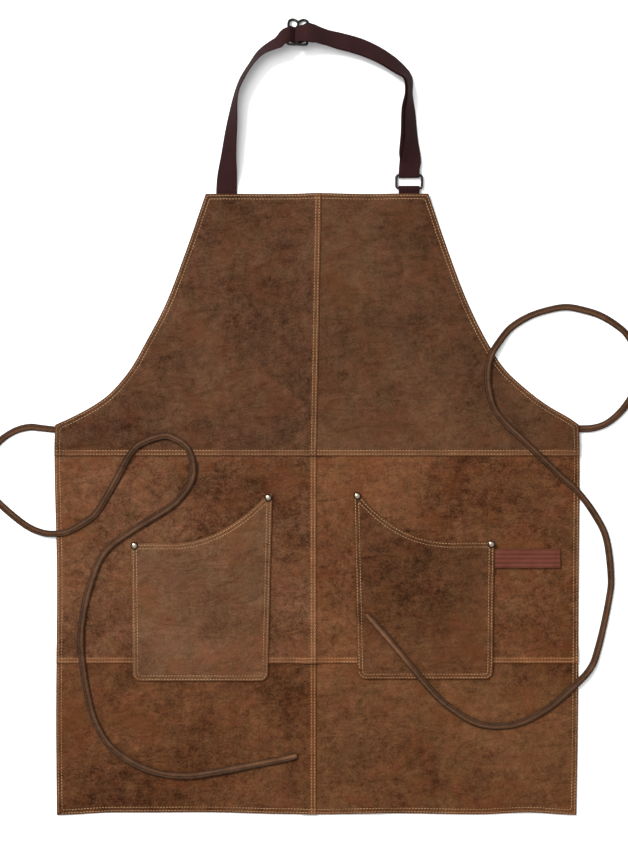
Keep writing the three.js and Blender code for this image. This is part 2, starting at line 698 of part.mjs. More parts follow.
// How far the lower layer lies to the inside
function layerAside(along) {
  const left = RING_ALONG - along;
  const { aside, start, full, narrow, end } = LAYER_SPREAD;
  return aside * (1 - smoothstep(left, full, start)) * smoothstep(left, end, narrow);
}

// The webbing's path through the slider and round the ring: distance along the loop, height above the
// plane of the metal pieces, and where it isn't nothing, distance to the inside. In the slider the lower
// layer lies to the outside and the upper one to the inside.
function strapPath() {
  const bar = SLIDER.length / 2;
  const dip = WIRE_RADIUS + 2 * (GAP + SLACK) + 1.5 * STRAP.thickness;
  const pitch = STRAP.thickness + 0.8;
  const over = WRAP_RADIUS;
  const turned = over * Math.SQRT1_2;
  const wrap = (along, from, to) =>
    [0, 0.25, 0.5, 0.75, 1].map((part) => {
      const turn = degToRad(lerp(from, to, part));
      return [along + over * Math.cos(turn), over * Math.sin(turn)];
    });
  const rising = [];
  for (let along = 0; along < SLIDER_ALONG - FREE_RUN.before_slider; along += FREE_RUN.rising) {
    rising.push([along, -LAYER_HALF]);
  }
  const falling = [];
  const lastFree = RING_ALONG - FREE_RUN.before_ring;
  for (let along = SLIDER_ALONG + FREE_RUN.past_slider; along < lastFree; along += FREE_RUN.falling) {
    falling.push(along);
  }
  const s = SLIDER_ALONG;
  return [
    ...rising,
    [s - 30, 0.6, 2.8], [s - bar - 4, over, 4.2], [s - bar, over, 2.6], [s - bar + turned, turned, 0],
    [s - 4.6, -2.9, -2], [s, -dip, -3.8], [s + 4.6, -2.9, -5], [s + bar - turned, turned, -5.2],
    [s + bar, over, -5], [s + bar + 6, over - 0.4, -4], [s + 34, 0, -1.6],
    ...falling.map((along) => [along, -LAYER_HALF, layerAside(along)]),
    [RING_ALONG - 12, -2.1],
    ...wrap(RING_ALONG, -90, 90),
    [RING_ALONG - 12, over - 0.2],
    ...falling.toReversed().map((along) => [along, LAYER_HALF]),
    [s + 34, 0.6 + pitch, 1.6], [s + bar + 6, over + 2 * pitch - 0.4, 2.6],
    [s + bar, over + 2 * pitch + 0.4, 2.6], [s + bar - turned, turned + 2 * pitch + 0.7, 2],
    [s + 4.6, over + 1.9, 0.6],
    ...wrap(s, 90, 270),
    [s + 4.8, 0.15, 0], [s + bar - turned, turned + pitch + 0.4, 1], [s + bar, over + pitch, 1.6],
    [s + bar + 6, over + pitch - 0.4, 1.8], [s + 22, over + pitch - 1, 1.6],
  ];
}

function pathStations(path, steps, frameAt) {
  const points = path.map(([along, height, aside = 0]) => new THREE.Vector3(along, height, aside));
  const curve = new THREE.CatmullRomCurve3(points, false, "centripetal");
  const count = steps * (path.length - 1);
  return Array.from({ length: count + 1 }, (_, i) => {
    const point = curve.getPoint(i / count);
    const slope = curve.getTangent(i / count);
    const { origin, travel, normal, side } = frameAt(point.x);
    const up = normal.clone().multiplyScalar(slope.x).addScaledVector(travel, -slope.y).normalize();
    const middle = origin.clone().addScaledVector(normal, point.y).addScaledVector(side, point.z);
    return { middle, side, up };
  });
}

addPiece("neck_strap", bandGeometry(pathStations(strapPath(), 2, loopFrame), STRAP), DARK_WEBBING);

// Metal slider and ring

class RoundedLoop extends THREE.Curve {
  constructor(halfLength, halfWidth) {
    super();
    this.halfLength = halfLength;
    this.halfWidth = halfWidth;
  }

  getPoint(t, target = new THREE.Vector3()) {
    const turn = 2 * Math.PI * t;
    const rounded = (value) => Math.sign(value) * Math.abs(value) ** WIRE_ROUNDING;
    const x = this.halfLength * rounded(Math.cos(turn));
    const y = this.halfWidth * rounded(Math.sin(turn));
    return target.set(x, y, 0);
  }
}

function wireLoop(halfLength, halfWidth) {
  const loop = new RoundedLoop(halfLength, halfWidth);
  return toSolid(new THREE.TubeGeometry(loop, WIRE_STEPS, WIRE_RADIUS, WIRE_SIDES, true));
}

function sliderGeometry() {
  const mirrored = SLIDER_WIRE.slice(1).reverse().map(({ along, across }) => ({ along: -along, across }));
  const points = [...SLIDER_WIRE, SLIDER_DIP, ...mirrored];
  const curve = new THREE.CatmullRomCurve3(
    points.map(({ along, across }) => new THREE.Vector3(along, across, 0)),
    true,
    "centripetal",
  );
  const frame = toSolid(new THREE.TubeGeometry(curve, SLIDER_STEPS, WIRE_RADIUS, WIRE_SIDES, true));
  const { low, high } = SLIDER_BAR;
  const bar = new THREE.CylinderGeometry(WIRE_RADIUS, WIRE_RADIUS, high - low, WIRE_SIDES);
  return toGeometry(frame.add(toSolid(bar.translate(0, (low + high) / 2, 0))));
}

const sliderFrame = loopFrame(SLIDER_ALONG);
const sliderGroup = new THREE.Group();
const sliderAxes = new THREE.Matrix4().makeBasis(
  sliderFrame.travel,
  sliderFrame.side.clone().negate(),
  sliderFrame.normal,
);
sliderGroup.setRotationFromMatrix(sliderAxes);
sliderGroup.position.copy(sliderFrame.origin).addScaledVector(sliderFrame.side, SLIDER.shift);
apron.add(sliderGroup);
addPiece("slider", sliderGeometry(), BLACK_METAL, sliderGroup);

const ringHeight = loopFrame(RING_ALONG).origin.z;
const ringGroup = new THREE.Group();
ringGroup.position.set(RING.x, (RING.low_y + RING.high_y) / 2, ringHeight);
apron.add(ringGroup);
const ringLoop = wireLoop(RING.width / 2, (RING.high_y - RING.low_y) / 2);
addPiece("ring", toGeometry(ringLoop), BLACK_METAL, ringGroup);

// The ring's tab, doubled round the low side of the ring and sewn under the bib

function ringTabGeometry() {
  const low = STRAP.thickness / 2;
  const turns = [-90, -45, 0, 45, 90].map(degToRad);
  const wrap = turns.map((turn) => [
    RING.low_y + WRAP_RADIUS * Math.cos(turn),
    ringHeight + WRAP_RADIUS * Math.sin(turn),
  ]);
  const top = low + STRAP.thickness + 2 * GAP;
  const path = [
    [RING_TAB.end_y, low], [RING_TAB.low_y, low], [BIB_TOP_Y, low], ...wrap,
    [BIB_TOP_Y, top + RING_TAB.rise], [RING_TAB.top_y, top], [RING_TAB.end_y, top],
  ];
  const frameAt = (y) => ({
    origin: new THREE.Vector3(RING.x, y, 0),
    travel: new THREE.Vector3(0, 1, 0),
    normal: new THREE.Vector3(0, 0, 1),
    side: new THREE.Vector3(1, 0, 0),
  });
  return bandGeometry(pathStations(path, 2, frameAt), STRAP);
}

addPiece("ring_tab", ringTabGeometry(), DARK_WEBBING);

// The side tab, folded at its free end and sewn under the pocket's outer edge

function sideTabGeometry() {
  const floor = sheetLevel(PANELS.length, SIDE_TAB.right - SIDE_TAB.width, SIDE_TAB.y);
  const low = floor + SIDE_TAB.thickness / 2;
  const fold = (SIDE_TAB.thickness + SIDE_TAB.space) / 2;
  const bend = SIDE_TAB.right - fold - SIDE_TAB.thickness / 2;
  const turns = [-90, -45, 0, 45, 90].map(degToRad);
  const wrap = turns.map((turn) => [bend + fold * Math.cos(turn), low + fold + fold * Math.sin(turn)]);
  const path = [[SIDE_TAB.left, low], [lerp(SIDE_TAB.left, bend, 0.5), low], ...wrap,
    [lerp(SIDE_TAB.left, bend, 0.5), low + 2 * fold], [SIDE_TAB.left, low + 2 * fold]];
  const frameAt = (x) => ({
    origin: new THREE.Vector3(x, SIDE_TAB.y, 0),
    travel: new THREE.Vector3(1, 0, 0),
    normal: new THREE.Vector3(0, 0, 1),
    side: new THREE.Vector3(0, -1, 0),
  });
  return bandGeometry(pathStations(path, 2, frameAt), SIDE_TAB);
}

addPiece("side_tab", sideTabGeometry(), RED_WEBBING);

// Ties: each starts under a waist corner, then lies on whatever is below it

function apronTop(x, y) {
  const level = clamp(y, BOTTOM_Y, BIB_TOP_Y);
  const beside = Math.max(edgeX("left", level) - x, x - edgeX("right", level));
  const outside = Math.max(beside, BOTTOM_Y - y, y - BIB_TOP_Y);
  const cover = 1 - smoothstep(outside, TIE_DROP.near, TIE_DROP.far);
  if (cover === 0) return 0;
  const pockets = POCKETS.map((pocket) => pocketTop(pocket, x, y));
  return cover * Math.max(sheetLevel(PANELS.length, x, y), ...pockets);
}

function pocketTop(pocket, x, y) {
  const share = pocketShare(pocket, x, y);
  const low = POCKET_BOTTOM_Y + pocket.y;
  const inside = share > 0 && share < 1 && y > low && y < mouthY(pocket, share);
  return inside ? pocketLevel(x, y) + 2 * LEATHER + pocketGape(pocket, share, y) : 0;
}

class LaidRoute extends THREE.Curve {
  constructor(points) {
    super();
    this.plan = new THREE.SplineCurve(points.map(([x, y]) => new THREE.Vector2(x, y)));
    this.planLength = this.plan.getLength();
  }

  getPoint(t, target = new THREE.Vector3()) {
    const { x, y } = this.plan.getPointAt(clamp(t, 0, 1));
    const rest = TIE.thickness / 2 + TIE.clearance;
    const laid = smoothstep(t * this.planLength, TIE_HIDDEN, TIE_HIDDEN + TIE_RISE);
    return target.set(x, y, rest + laid * highestNear(x, y));
  }
}

function highestNear(x, y) {
  const around = [0, 45, 90, 135, 180, 225, 270, 315].map(degToRad);
  const rings = [TIE.reach / 2, TIE.reach];
  const heights = rings.flatMap((radius) =>
    around.map((turn) => apronTop(x + radius * Math.cos(turn), y + radius * Math.sin(turn))),
  );
  return Math.max(apronTop(x, y), ...heights);
}

function tieGeometry(points) {
  const halfThick = TIE.thickness / 2;
  const halfWide = TIE.width / 2;
  const section = new THREE.Shape([
    new THREE.Vector2(-halfThick, -halfWide + TIE.corner),
    new THREE.Vector2(-halfThick + TIE.corner, -halfWide),
    new THREE.Vector2(halfThick - TIE.corner, -halfWide),
    new THREE.Vector2(halfThick, -halfWide + TIE.corner),
    new THREE.Vector2(halfThick, halfWide - TIE.corner),
    new THREE.Vector2(halfThick - TIE.corner, halfWide),
    new THREE.Vector2(-halfThick + TIE.corner, halfWide),
    new THREE.Vector2(-halfThick, halfWide - TIE.corner),
  ]);
  return new THREE.ExtrudeGeometry(section, { steps: TIE.steps, extrudePath: new LaidRoute(points) });
}

addPiece("tie_left", tieGeometry(TIE_LEFT), TIE_LEATHER);
addPiece("tie_right", tieGeometry(TIE_RIGHT), TIE_LEATHER);

export default apron;
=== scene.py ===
"""Looks of a leather bib apron that lies flat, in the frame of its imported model.

Lengths are in millimetres in this script and become metres when a mesh is made.
x runs to the right, y towards the neck and z up from the floor.
"""

from collections import namedtuple

import bmesh
import bpy
import numpy as np
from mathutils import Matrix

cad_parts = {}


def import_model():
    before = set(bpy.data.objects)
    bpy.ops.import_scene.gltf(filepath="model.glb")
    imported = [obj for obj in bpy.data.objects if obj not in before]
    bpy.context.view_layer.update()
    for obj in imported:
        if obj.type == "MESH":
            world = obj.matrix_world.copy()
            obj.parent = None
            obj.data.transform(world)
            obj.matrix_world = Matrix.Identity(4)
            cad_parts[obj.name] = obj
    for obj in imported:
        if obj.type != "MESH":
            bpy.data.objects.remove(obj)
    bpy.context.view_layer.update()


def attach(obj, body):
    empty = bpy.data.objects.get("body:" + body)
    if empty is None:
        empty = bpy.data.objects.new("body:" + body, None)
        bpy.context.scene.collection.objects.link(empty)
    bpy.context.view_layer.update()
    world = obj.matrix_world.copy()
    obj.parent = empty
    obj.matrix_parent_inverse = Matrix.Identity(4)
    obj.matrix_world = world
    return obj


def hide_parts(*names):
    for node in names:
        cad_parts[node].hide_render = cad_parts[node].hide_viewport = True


MM = 0.001
BODY = "root"
X_AXIS, Y_AXIS, Z_AXIS = np.eye(3)
FAR = 1e9
Panel = namedtuple("Panel", "name side low high")
Section = namedtuple("Section", "width thickness")

# Leather, the clearance between pieces that lie on each other, and a little slack
LEATHER = 1.4
GAP = 0.3
SLACK = 0.1
LAYER = LEATHER + GAP

# Outline of the apron
WAIST_HALF = 327.0
WAIST_Y = -11.0
BOTTOM_Y = -498.5
BIB_TOP_Y = 277.5
OUTLINE_STEP = 2.5
COARSE_STEP = 6

# Waves of the lower edge: x and how far up each bends it, and the bib's small peak at its seam
HEM_WAVES = np.array([
    (-325, 0), (-250, 3.1), (-146, 3.5), (-34, 1.2), (0, 0.6), (95, 2.1),
    (200, 0.6), (262, 3.1), (325, 0),
])
HEM_WAVE_REACH = 110.0
BIB_PEAK = 1.2
BIB_PEAK_WIDTH = 30.0
BIB_PEAK_REACH = 60.0

# Sides of the outline: y, left edge, right edge
WAIST = (WAIST_Y, -WAIST_HALF, WAIST_HALF)
SIDES = np.array([
    (BOTTOM_Y, -325, 324), (-380, -326, 326), (-200, -325, 327), (-60, -328, 328), WAIST,
])
ARMHOLE = np.array([
    WAIST, (-2, -307, 314), (12, -281, 290), (28, -259, 268), (57, -234, 236), (88, -216, 215),
    (140, -189, 189), (200, -166, 166), (BIB_TOP_Y, -139, 139),
])

# Lapped seams, the turned hem, a line on the hem, and how far the leather sags inside it
UPPER_SEAM_Y = -50.0
LOWER_SEAM_Y = -309.0
SEAM_LAP = 13.0
LAP_FALL = 12.0
SEAM_TOP_X = 5.5
SEAM_WAIST_X = -0.5
HEM = 12.5
HEM_FALL = 3.0
ON_HEM = 12.0
SAG = 0.5
SAG_REACH = 25.0

# Panels from the lowest layer to the highest
PANEL_ROWS = [
    ("bottom", BOTTOM_Y, LOWER_SEAM_Y + SEAM_LAP),
    ("middle", LOWER_SEAM_Y, UPPER_SEAM_Y + SEAM_LAP),
    ("bib", UPPER_SEAM_Y, BIB_TOP_Y),
]
PANELS = [
    Panel(f"{row}_{side}", side, low, high) for row, low, high in PANEL_ROWS for side in ("right", "left")
]

# Gentle folds: x, y, turn in degrees, half length, half width, height
FOLDS = [
    (-215, 60, 62, 90, 26, 2.6),
    (190, 70, 118, 80, 28, 2.4),
    (-95, 175, 75, 80, 30, 1.8),
    (105, 190, 100, 70, 26, 1.6),
    (-190, -430, 80, 60, 34, 2.2),
    (60, -450, 95, 55, 30, 1.8),
    (250, -440, 100, 60, 30, 2.2),
]

# Fine unevenness of the hide: size of a dent, height and seed
DENTS = [(85.0, 0.45, 3), (34.0, 0.2, 5), (15.0, 0.07, 8)]
LATTICE = 128

# What lies under the leather: left, right, low, high, lift and how far it falls off
PADS = [
    (-131, -97, 248, BIB_TOP_Y, 1.9, 26),
    (98, 131, 248, BIB_TOP_Y, 4.7, 26),
    (-WAIST_HALF, -284, -26, -9, 4, 34),
    (284, WAIST_HALF, -26, -9, 4, 34),
]

# Distances from an edge at which a sheet has rows or columns, and the two rows of stitches there
EDGE_STOPS = np.array([
    0.0, 0.25, 0.6, 1.0, 1.4, 1.9, 2.4, 2.9, 3.5, 4.5,
    5.6, 6.1, 6.6, 7.1, 7.8, 9.0, 11.0, 13.0, 15.5, 18.0,
])
STITCH_ROWS = (2.4, 6.6)
GROOVE_DEPTH = 0.3
GROOVE_WIDTH = 0.6

# The field of a panel inside them: how far from its low and high edge its rows start and end, close rows
# past the waist corners, the least distance of two rows, and how far columns stretch where an edge slants
FIELD_COLUMNS = 72
FIELD_STEP = 4.0
FIELD_START = 21.0
FIELD_END = 20.0
WAIST_ROWS = (WAIST_Y - 2.0, 40.0, 1.3)
LEAST_ROW = 0.2
SLOPE_REACH = 4.0
MOST_STRETCH = 2.4

# Share of the leather's thickness left at a turned and at a cut edge, and the radius of the cut edge
TURNED_RIM = 0.06
CUT_RIM = 0.45
CUT_RADIUS = 0.8

# Where the leather is rubbed: how much at an edge and how far in it fades, and the band beside a seam
EDGE_WEAR = (0.4, 1.5)
POCKET_WEAR = (0.4, 1.2)
SEAM_WEAR = (0.6, 1.0)
BAND_WEAR = 0.5
WORN_BAND = (0.5, 2.0, 6.5, 9.5)

# Stitches: how far each is aslant and off its row, how far it stands out and its ends sink, as shares of
# its radius, and its rings: place as a share of half its length, share of its radius
STITCH_PITCH = 3.8
STITCH_LENGTH = 3.05
STITCH_RADIUS = 0.46
STITCH_SLANT = 0.05
STITCH_DRIFT = 0.08
STITCH_STAND = 0.55
STITCH_SINK = 0.9
STITCH_RINGS = np.array([(-1, 0.25), (-0.8, 0.85), (0, 1), (0.8, 0.85), (1, 0.25)])
STITCH_SIDES = 6
STITCH_SEED = 11
STITCH_LINE_STEP = 2.0
INSET_SLACK = 0.06

# Pockets, mirrored about a line just left of the middle
POCKET_MIRROR_X = -4.0
POCKET_INNER = 51.6
POCKET_WIDTH = 177.0
POCKET_INNER_TAPER = 5.6
POCKET_OUTER_TAPER = 2.5
POCKET_BOTTOM_Y = -331.0
POCKET_TOP_Y = -97.0
POCKET_CORNER = 10.0
POCKET_HEM = 11.0
MOUTH_LOW_Y = -159.0
MOUTH_RISE = 68.0
MOUTH_REACH = 130.0

# How far a mouth stands open, between which shares of the width, and how far from bottom and mouth
GAPE = 6.5
GAPE_SHARES = (0.08, 0.34, 0.66, 0.92)
GAPE_LOW = 40.0
GAPE_HIGH = 20.0

# Columns and rows between the edges of a pocket, and its outline: shares of the width in a corner and
# between the corners, and the step up its sides
POCKET_COLUMNS = 40
POCKET_ROWS = 46
CORNER_SHARES = np.linspace(0.0, 0.06, 16)
MIDDLE_SHARES = np.linspace(0.07, 0.93, 70)
POCKET_STEP = 2.0

# The two pockets: which side of the mirror line, how far each sits off its mirrored place, and how
# steeply its mouth falls
POCKETS = {
    "left": {"hand": -1, "x": 0.0, "y": 0.0, "power": 2.15},
    "right": {"hand": 1, "x": -2.5, "y": 2.2, "power": 2.45},
}

# Rivets at the ends of the pocket mouths: place, share of the pocket's width, y. A dome, from one angle to
# another in steps, stands on an upright rim, a share of the height, and painted shade darkens its outer part.
RIVETS = [("outer", 0.977, -162.0), ("inner", 0.029, -102.0)]
RIVET_RADIUS = 4.75
RIVET_HEIGHT = 2.6
RIVET_POST = 1.5
RIVET_BACK_RADIUS = 4.0
RIVET_BACK = (0.15, 1.05)
RIVET_CENTRE = 0.05
RIVET_BEVEL = 0.25
RIVET_BACK_BEVEL = 0.3
RIVET_RIM = 0.22
RIVET_DOME = (86.0, 4.0, 12)
RIVET_DOME_WIDTH = 0.985
RIVET_SIDES = 40
RIVET_PAINTED_SHADE = (0.35, 0.85)

# Webbing of the neck strap and the ring's tab; how many points are across any webbing and how square its
# edges are
STRAP = Section(26.0, 1.5)
WEBBING_POINTS = 17
WEBBING_SQUARENESS = 10

# The side tab: how far beside it the pocket edge over it stays lifted and comes down, and where its upper
# layer dips behind its fold, how far, and where it is level again
SIDE_TAB = Section(24.0, 1.1)
SIDE_TAB_LEFT = 214.0
SIDE_TAB_RIGHT = 304.0
SIDE_TAB_Y = -178.0
SIDE_TAB_SPACE = 0.5
SIDE_TAB_LIFT = (3.5, 10.0)
SIDE_TAB_DIP = (2.4, 0.3, 6.0)
SIDE_TAB_POINTS = 12
SIDE_TAB_STEPS = 10

# The neck loop seen from above: x, y, how far it leans out in degrees
LOOP = np.array([
    (-113, 252, 0), (-113, 284, 3), (-111, 322, 38), (-107, 362, 56),
    (-101.5, 402, 76), (-94, 421, 74), (-82, 440, 73), (-69.5, 454, 64),
    (-46, 466.4, 47), (-24, 474, 30), (4, 471.8, 33), (29, 467, 33),
    (54, 460, 34), (79, 448.5, 41), (100, 434, 50), (113, 421, 66),
    (114.8, 402, 74), (115.3, 380, 60), (116.8, 345, 49), (117.5, 322, 26),
    (115, 308, 3), (115, 288, 0),
])
LOOP_STEPS = 20
SLIDER_ROW = 9
TRAVEL_STEP = 3.0

# Metal slider and ring
WIRE_RADIUS = 1.6
WIRE_ROUNDING = 0.28
WIRE_SIDES = 18
WIRE_STEPS = 8
WRAP_RADIUS = WIRE_RADIUS + GAP + SLACK + STRAP.thickness / 2
WRAP_POINTS = 5
SLIDER_LENGTH = 24.0
SLIDER_HEADING = -2.0
SLIDER_SHIFT = -5.7
SLIDER_LIFT = 6.0
SLIDER_LIFT_REACH = 40.0
SLIDER_STRAIGHT = 14.0
SLIDER_BLEND = 27.0
SLIDER_BAR = (-20.7, 16.2)
SLIDER_BAR_RINGS = 12
RING_X = 115.0
RING_LOW_Y = 284.0
RING_HIGH_Y = 301.0
RING_WIDTH = 32.0
RING_STEPS = 140
RING_SAMPLES = 2001
RING_APPROACH = 30.0

# The ring's tab: where it ends, where its two layers come level, and how far the upper one rises
RING_TAB_END_Y = 252.0
RING_TAB_LOW_Y = 266.0
RING_TAB_TOP_Y = 268.0
RING_TAB_RISE = 0.7

# One half of the slider's wire, along the webbing and across it, and its dip to the middle bar
SLIDER_WIRE = np.array([
    (0, -20.7), (9.4, -20.7), (11.4, -20.1), (12, -18.2), (12, -6), (12, 6),
    (12, 13.2), (10.6, 17), (6.9, 18.6), (3.2, 17.3),
])
SLIDER_DIP = (0.0, 15.0)

# Half the distance between the strap's two layers, and the space between layers at the slider; the lower
# one lies to the inside before the ring, by so much, and moves over between these distances before it
LAYER_HALF = 1.05
LAYER_SPACE = 0.8
LAYER_ASIDE = 6.5
LAYER_SPREAD = (14.0, 34.0, 92.0, 122.0)

# The strap's free runs up to the slider and from there to the ring: how far each keeps from them and the
# steps between its points; and the seam past the slider, with its share of the width each way
RISING_END = 50.0
RISING_STEP = 18.0
FALLING_START = 52.0
FALLING_END = 26.0
FALLING_STEP = 16.0
STRAP_SEAM = 21.0
STRAP_SEAM_HALF = 0.45
STRAP_SEAM_POINTS = 12
STRAP_STEPS = 8

# Leather ties: how far one lies off what is below it, how much of it is hidden, over what length it rises
# from there, how far beside the apron it comes down, and how far round its line the leather lifts it
TIE = Section(8.5, 3.2)
TIE_REST = 0.4
TIE_HIDDEN = 60.0
TIE_RISE = 25.0
TIE_DROP = (1.0, 9.0)
TIE_REACH = 6.0
TIE_DIRECTIONS = 8
TIE_EASE = 5
TIE_STEP = 2.5
TIE_CURVE_STEPS = 24

# Its section, with the seam of its fold; how it rolls (degrees) and swells along its length, over what
# lengths; and the shares of its width at its tip
TIE_SIDES = 36
TIE_SEAM = 1.3
TIE_SEAM_DEPTH = 1.0
TIE_SEAM_WIDTH = 0.5
TIE_ROLL = 16.0
TIE_ROLL_LENGTH = 70.0
TIE_SWELL = 0.05
TIE_SWELL_LENGTH = 28.0
TIE_TIP = np.array([1.0, 0.9, 0.7])
TIE_LEFT_SEED = 21
TIE_RIGHT_SEED = 27

# Painted highlights on the top of a tie, a lit ridge and a lit lip beside its seam: place across it, width
# and amount; and how far from its end it turns pale and is all pale, and how wide that is
TIE_RIDGE_HIGHLIGHT = (-0.9, 1.5, 0.45)
TIE_LIP_HIGHLIGHT = (2.5, 0.6, 0.27)
TIE_PALE_END = 120.0
TIE_PALE_FULL = 48.0
TIE_PALE_WIDTH = 2.1

# Where each tie runs seen from above
TIE_LEFT = [
    (-305, -17), (-326, -17), (-345, -15), (-360, -14), (-378, -19), (-396, -31), (-411, -50),
    (-417, -71), (-411, -92), (-396, -110), (-366, -135), (-345, -145), (-327, -147), (-310, -144),
    (-289, -132), (-274, -119), (-251, -80), (-237, -54), (-222, -36), (-193, -25), (-176, -29),
    (-161, -41), (-155, -59), (-156, -78), (-169, -100), (-187, -116), (-232, -144), (-266, -171),
    (-285, -217), (-294, -265), (-293, -305), (-286, -349), (-277, -381), (-259, -411), (-231, -432),
    (-199, -445), (-166, -449), (-129, -445), (-50, -430), (-25, -424),
]
TIE_RIGHT = [
    (307, -17), (328, -16), (345, -15), (362, -9), (379, 5), (393, 24), (402, 46), (402, 74),
    (389, 99), (376, 112), (355, 125), (334, 132), (311, 136), (287, 132), (264, 124), (242, 110),
    (227, 92), (217, 75), (213, 55), (214, 34), (221, 10), (235, -9), (256, -29), (305, -76),
    (324, -93), (346, -122), (361, -152), (367, -197), (365, -227), (352, -287), (340, -317),
    (311, -346), (285, -367), (256, -382), (230, -387), (201, -384), (175, -370), (146, -346),
    (96, -286), (62, -247),
]

# Hides: their tones as they look in the light of the scene, and how uneven each one is; and how much
# paler than the rest the places are where a hide is rubbed, and where a lace carries painted highlights and
# its pale end
HIDES = {
    "bib_left": ((86, 55, 35), 1.25),
    "bib_right": ((88, 57, 36), 1.0),
    "middle_left": ((103, 66, 42), 1.4),
    "middle_right": ((101, 62, 36), 1.4),
    "bottom_left": ((93, 56, 31), 1.4),
    "bottom_right": ((102, 64, 37), 1.15),
    "pocket_left": ((107, 72, 48), 0.85),
    "pocket_right": ((92, 57, 33), 1.25),
}
LACE = ((63, 43, 30), 1.0)
HIDE_RUB = (2.3, 2.15, 1.95)
LACE_PALE_AND_HIGHLIGHT = (5.6, 5.3, 4.8)
LACE_SEED = 11

# Noise in a hide: scale, detail, roughness, distortion
HIDE_NOISE = {
    "patches": (6.0, 2.0, 0.5, 0.4),
    "mottle": (34.0, 5.0, 0.6, 0.4),
    "blush": (16.0, 5.0, 0.65, 0.3),
    "flush": (40.0, 4.0, 0.6, 0.5),
    "grain": (110.0, 5.0, 0.7, 0.0),
    "speckle": (420.0, 4.0, 0.7, 0.0),
    "creases": (130.0, 5.0, 0.62, 1.2),
}
WRINKLE_NOISE = (20.0, 3.0, 0.5, 1.4)
WRINKLE_PULL = (1.0, 2.4, 1.0)
WRINKLE_TURN = 0.9
PEBBLE_SCALE = 640.0
HIDE_SHIFT = np.array([0.37, 0.61, 0.13])

# How far noise moves a hide's tone from its middle, its darkest and lightest tint, its warm and cool tints
# with the noise at which each starts and is full, the two tints of its flush, and how deep its relief is
HIDE_MIDDLE = 0.375
HIDE_SWING = {"patches": 0.19, "mottle": 0.13, "grain": 0.22, "speckle": 0.24}
HIDE_DARK = (0.36, 0.28, 0.2)
HIDE_LIGHT = (2.1, 2.3, 2.6)
HIDE_TINTS = [(0.5, 0.68, (1.2, 0.98, 0.78)), (0.46, 0.3, (0.9, 0.94, 1.1))]
HIDE_TINT_SHARE = 0.6
HIDE_FLUSH = ((0.95, 1.035, 0.98, 1.0), (1.055, 0.955, 0.95, 1.0))
HIDE_RELIEF = {"creases": 1.1, "pebble": 0.35, "speckle": 0.5, "wrinkles": 14.0}

# Ranges of noise, and what each becomes: a hide's tone, its flush, how far it is rubbed and how rough it is.
# A bump is given by its strength and its depth in metres.
HIDE_SPREAD = (0.25, 0.75)
FLUSH_SHARE = (0.34, 0.66, 0.0, 1.0)
RUB_SHARE = (0.3, 0.62, 0.4, 1.0)
HIDE_ROUGHNESS = (0.3, 0.7, 0.74, 0.58)
HIDE_BUMP = (0.55, 0.0006)
SOFT_SPECULAR = 0.05

# Webbing: dark and light tone, pitch of its ribs and of its lines, and how deep the lines are
DARK_WEBBING = ((22, 10, 11), (71, 40, 40), 1.3, 2.6, 0.45)
RED_WEBBING = ((62, 26, 20), (154, 90, 72), 1.2, 5.4, 0.85)

# Noise in its fuzz and its shade, how much these and the weave count, and the scale at which a wave texture
# has one wave in a metre
WEBBING_FUZZ = (900.0, 3.0, 0.6)
WEBBING_SHADE = (40.0, 3.0, 0.6)
FUZZ_SHARE = 0.35
SHADE_SHARE = 0.5
WEAVE_SHARE = 0.6
WAVE_SCALE = 0.1 * np.pi
WAVE_DISTORTION = 0.4
WEBBING_ROUGHNESS = 0.75
WEBBING_BUMP = (0.6, 0.0004)

# Metal: tone, tone of its scuffs, roughness and scale of the scuffs; and the tint of the painted shade on a
# rivet's rim
BLACK_METAL = ((56, 54, 52), (110, 104, 96), 0.3, 160.0)
SILVER_METAL = ((206, 186, 166), (150, 130, 110), 0.2, 260.0)
PAINTED_SHADE_TINT = (0.2, 0.17, 0.14)

# Scuffs: detail and roughness of their noise, the range of it that shows and how much, the range that
# makes the metal smoother and rougher, and by what share
SCUFF_NOISE = (5.0, 0.65)
SCUFF_SHARE = (0.55, 0.75, 0.0, 0.7)
SCUFF_SPREAD = (0.3, 0.7)
METAL_ROUGHNESS = (0.8, 1.4)
METAL_BUMP = (0.12, 0.0002)

# Thread: dark and light tone, how the tone drifts, and its twist
TAN_THREAD = ((152, 112, 72), (202, 160, 112))
STRAP_THREAD = ((84, 58, 58), (112, 82, 80))
THREAD_DRIFT = (24.0, 3.0, 0.6)
DRIFT_SHARE = (0.35, 0.65, 0.0, 1.0)
THREAD_TWIST = (1500.0, 2.0, 0.6)
TWIST_TINT = (0.3, 0.7, 0.75, 1.2)
THREAD_ROUGHNESS = 0.7
THREAD_BUMP = (0.4, 0.0002)

# Stage, in metres: the floor, the sky's strength at the horizon and overhead, the light on the floor as a
# multiple of the light that shows as white, and the lamps: name, place, size and power
FLOOR_HALF = 4.0
FLOOR_Z = -0.0003
FLOOR_TONES = ((0.9, 0.9, 0.9, 1.0), (0.93, 0.93, 0.93, 1.0))
FLOOR_NOISE = (60.0, 2.0, 0.5)
FLOOR_ROUGHNESS = 0.9
FLOOR_SPECULAR = 0.1
SKY = (0.28, 0.98)
LIGHT_LEVEL = 1.62
LAMPS = [("overhead", (-0.7, 0.7, 2.45), 1.3, 27.0), ("side", (-2.4, 2.4, 4.05), 1.0, 257.0)]

# Camera: straight above the middle of the photograph's frame
CAMERA_X = -3.75
CAMERA_Y = -16.25
FRAME_HEIGHT = 1072.5
LENS = 100.0
SENSOR = 36.0


# Curves and surfaces over the plan

def smooth(value, low, high):
    share = np.clip((value - low) / (high - low), 0.0, 1.0)
    return share * share * (3.0 - 2.0 * share)


def plateau(value, start, full, narrow, end):
    """Rises from 0 to 1 between start and full, and falls to 0 between narrow and end."""
    return smooth(value, start, full) * (1.0 - smooth(value, narrow, end))


def bell(value, middle, width):
    return np.exp(-(((value - middle) / width) ** 2))


def full_turn(count):
    return np.linspace(0.0, 2 * np.pi, count, endpoint=False)


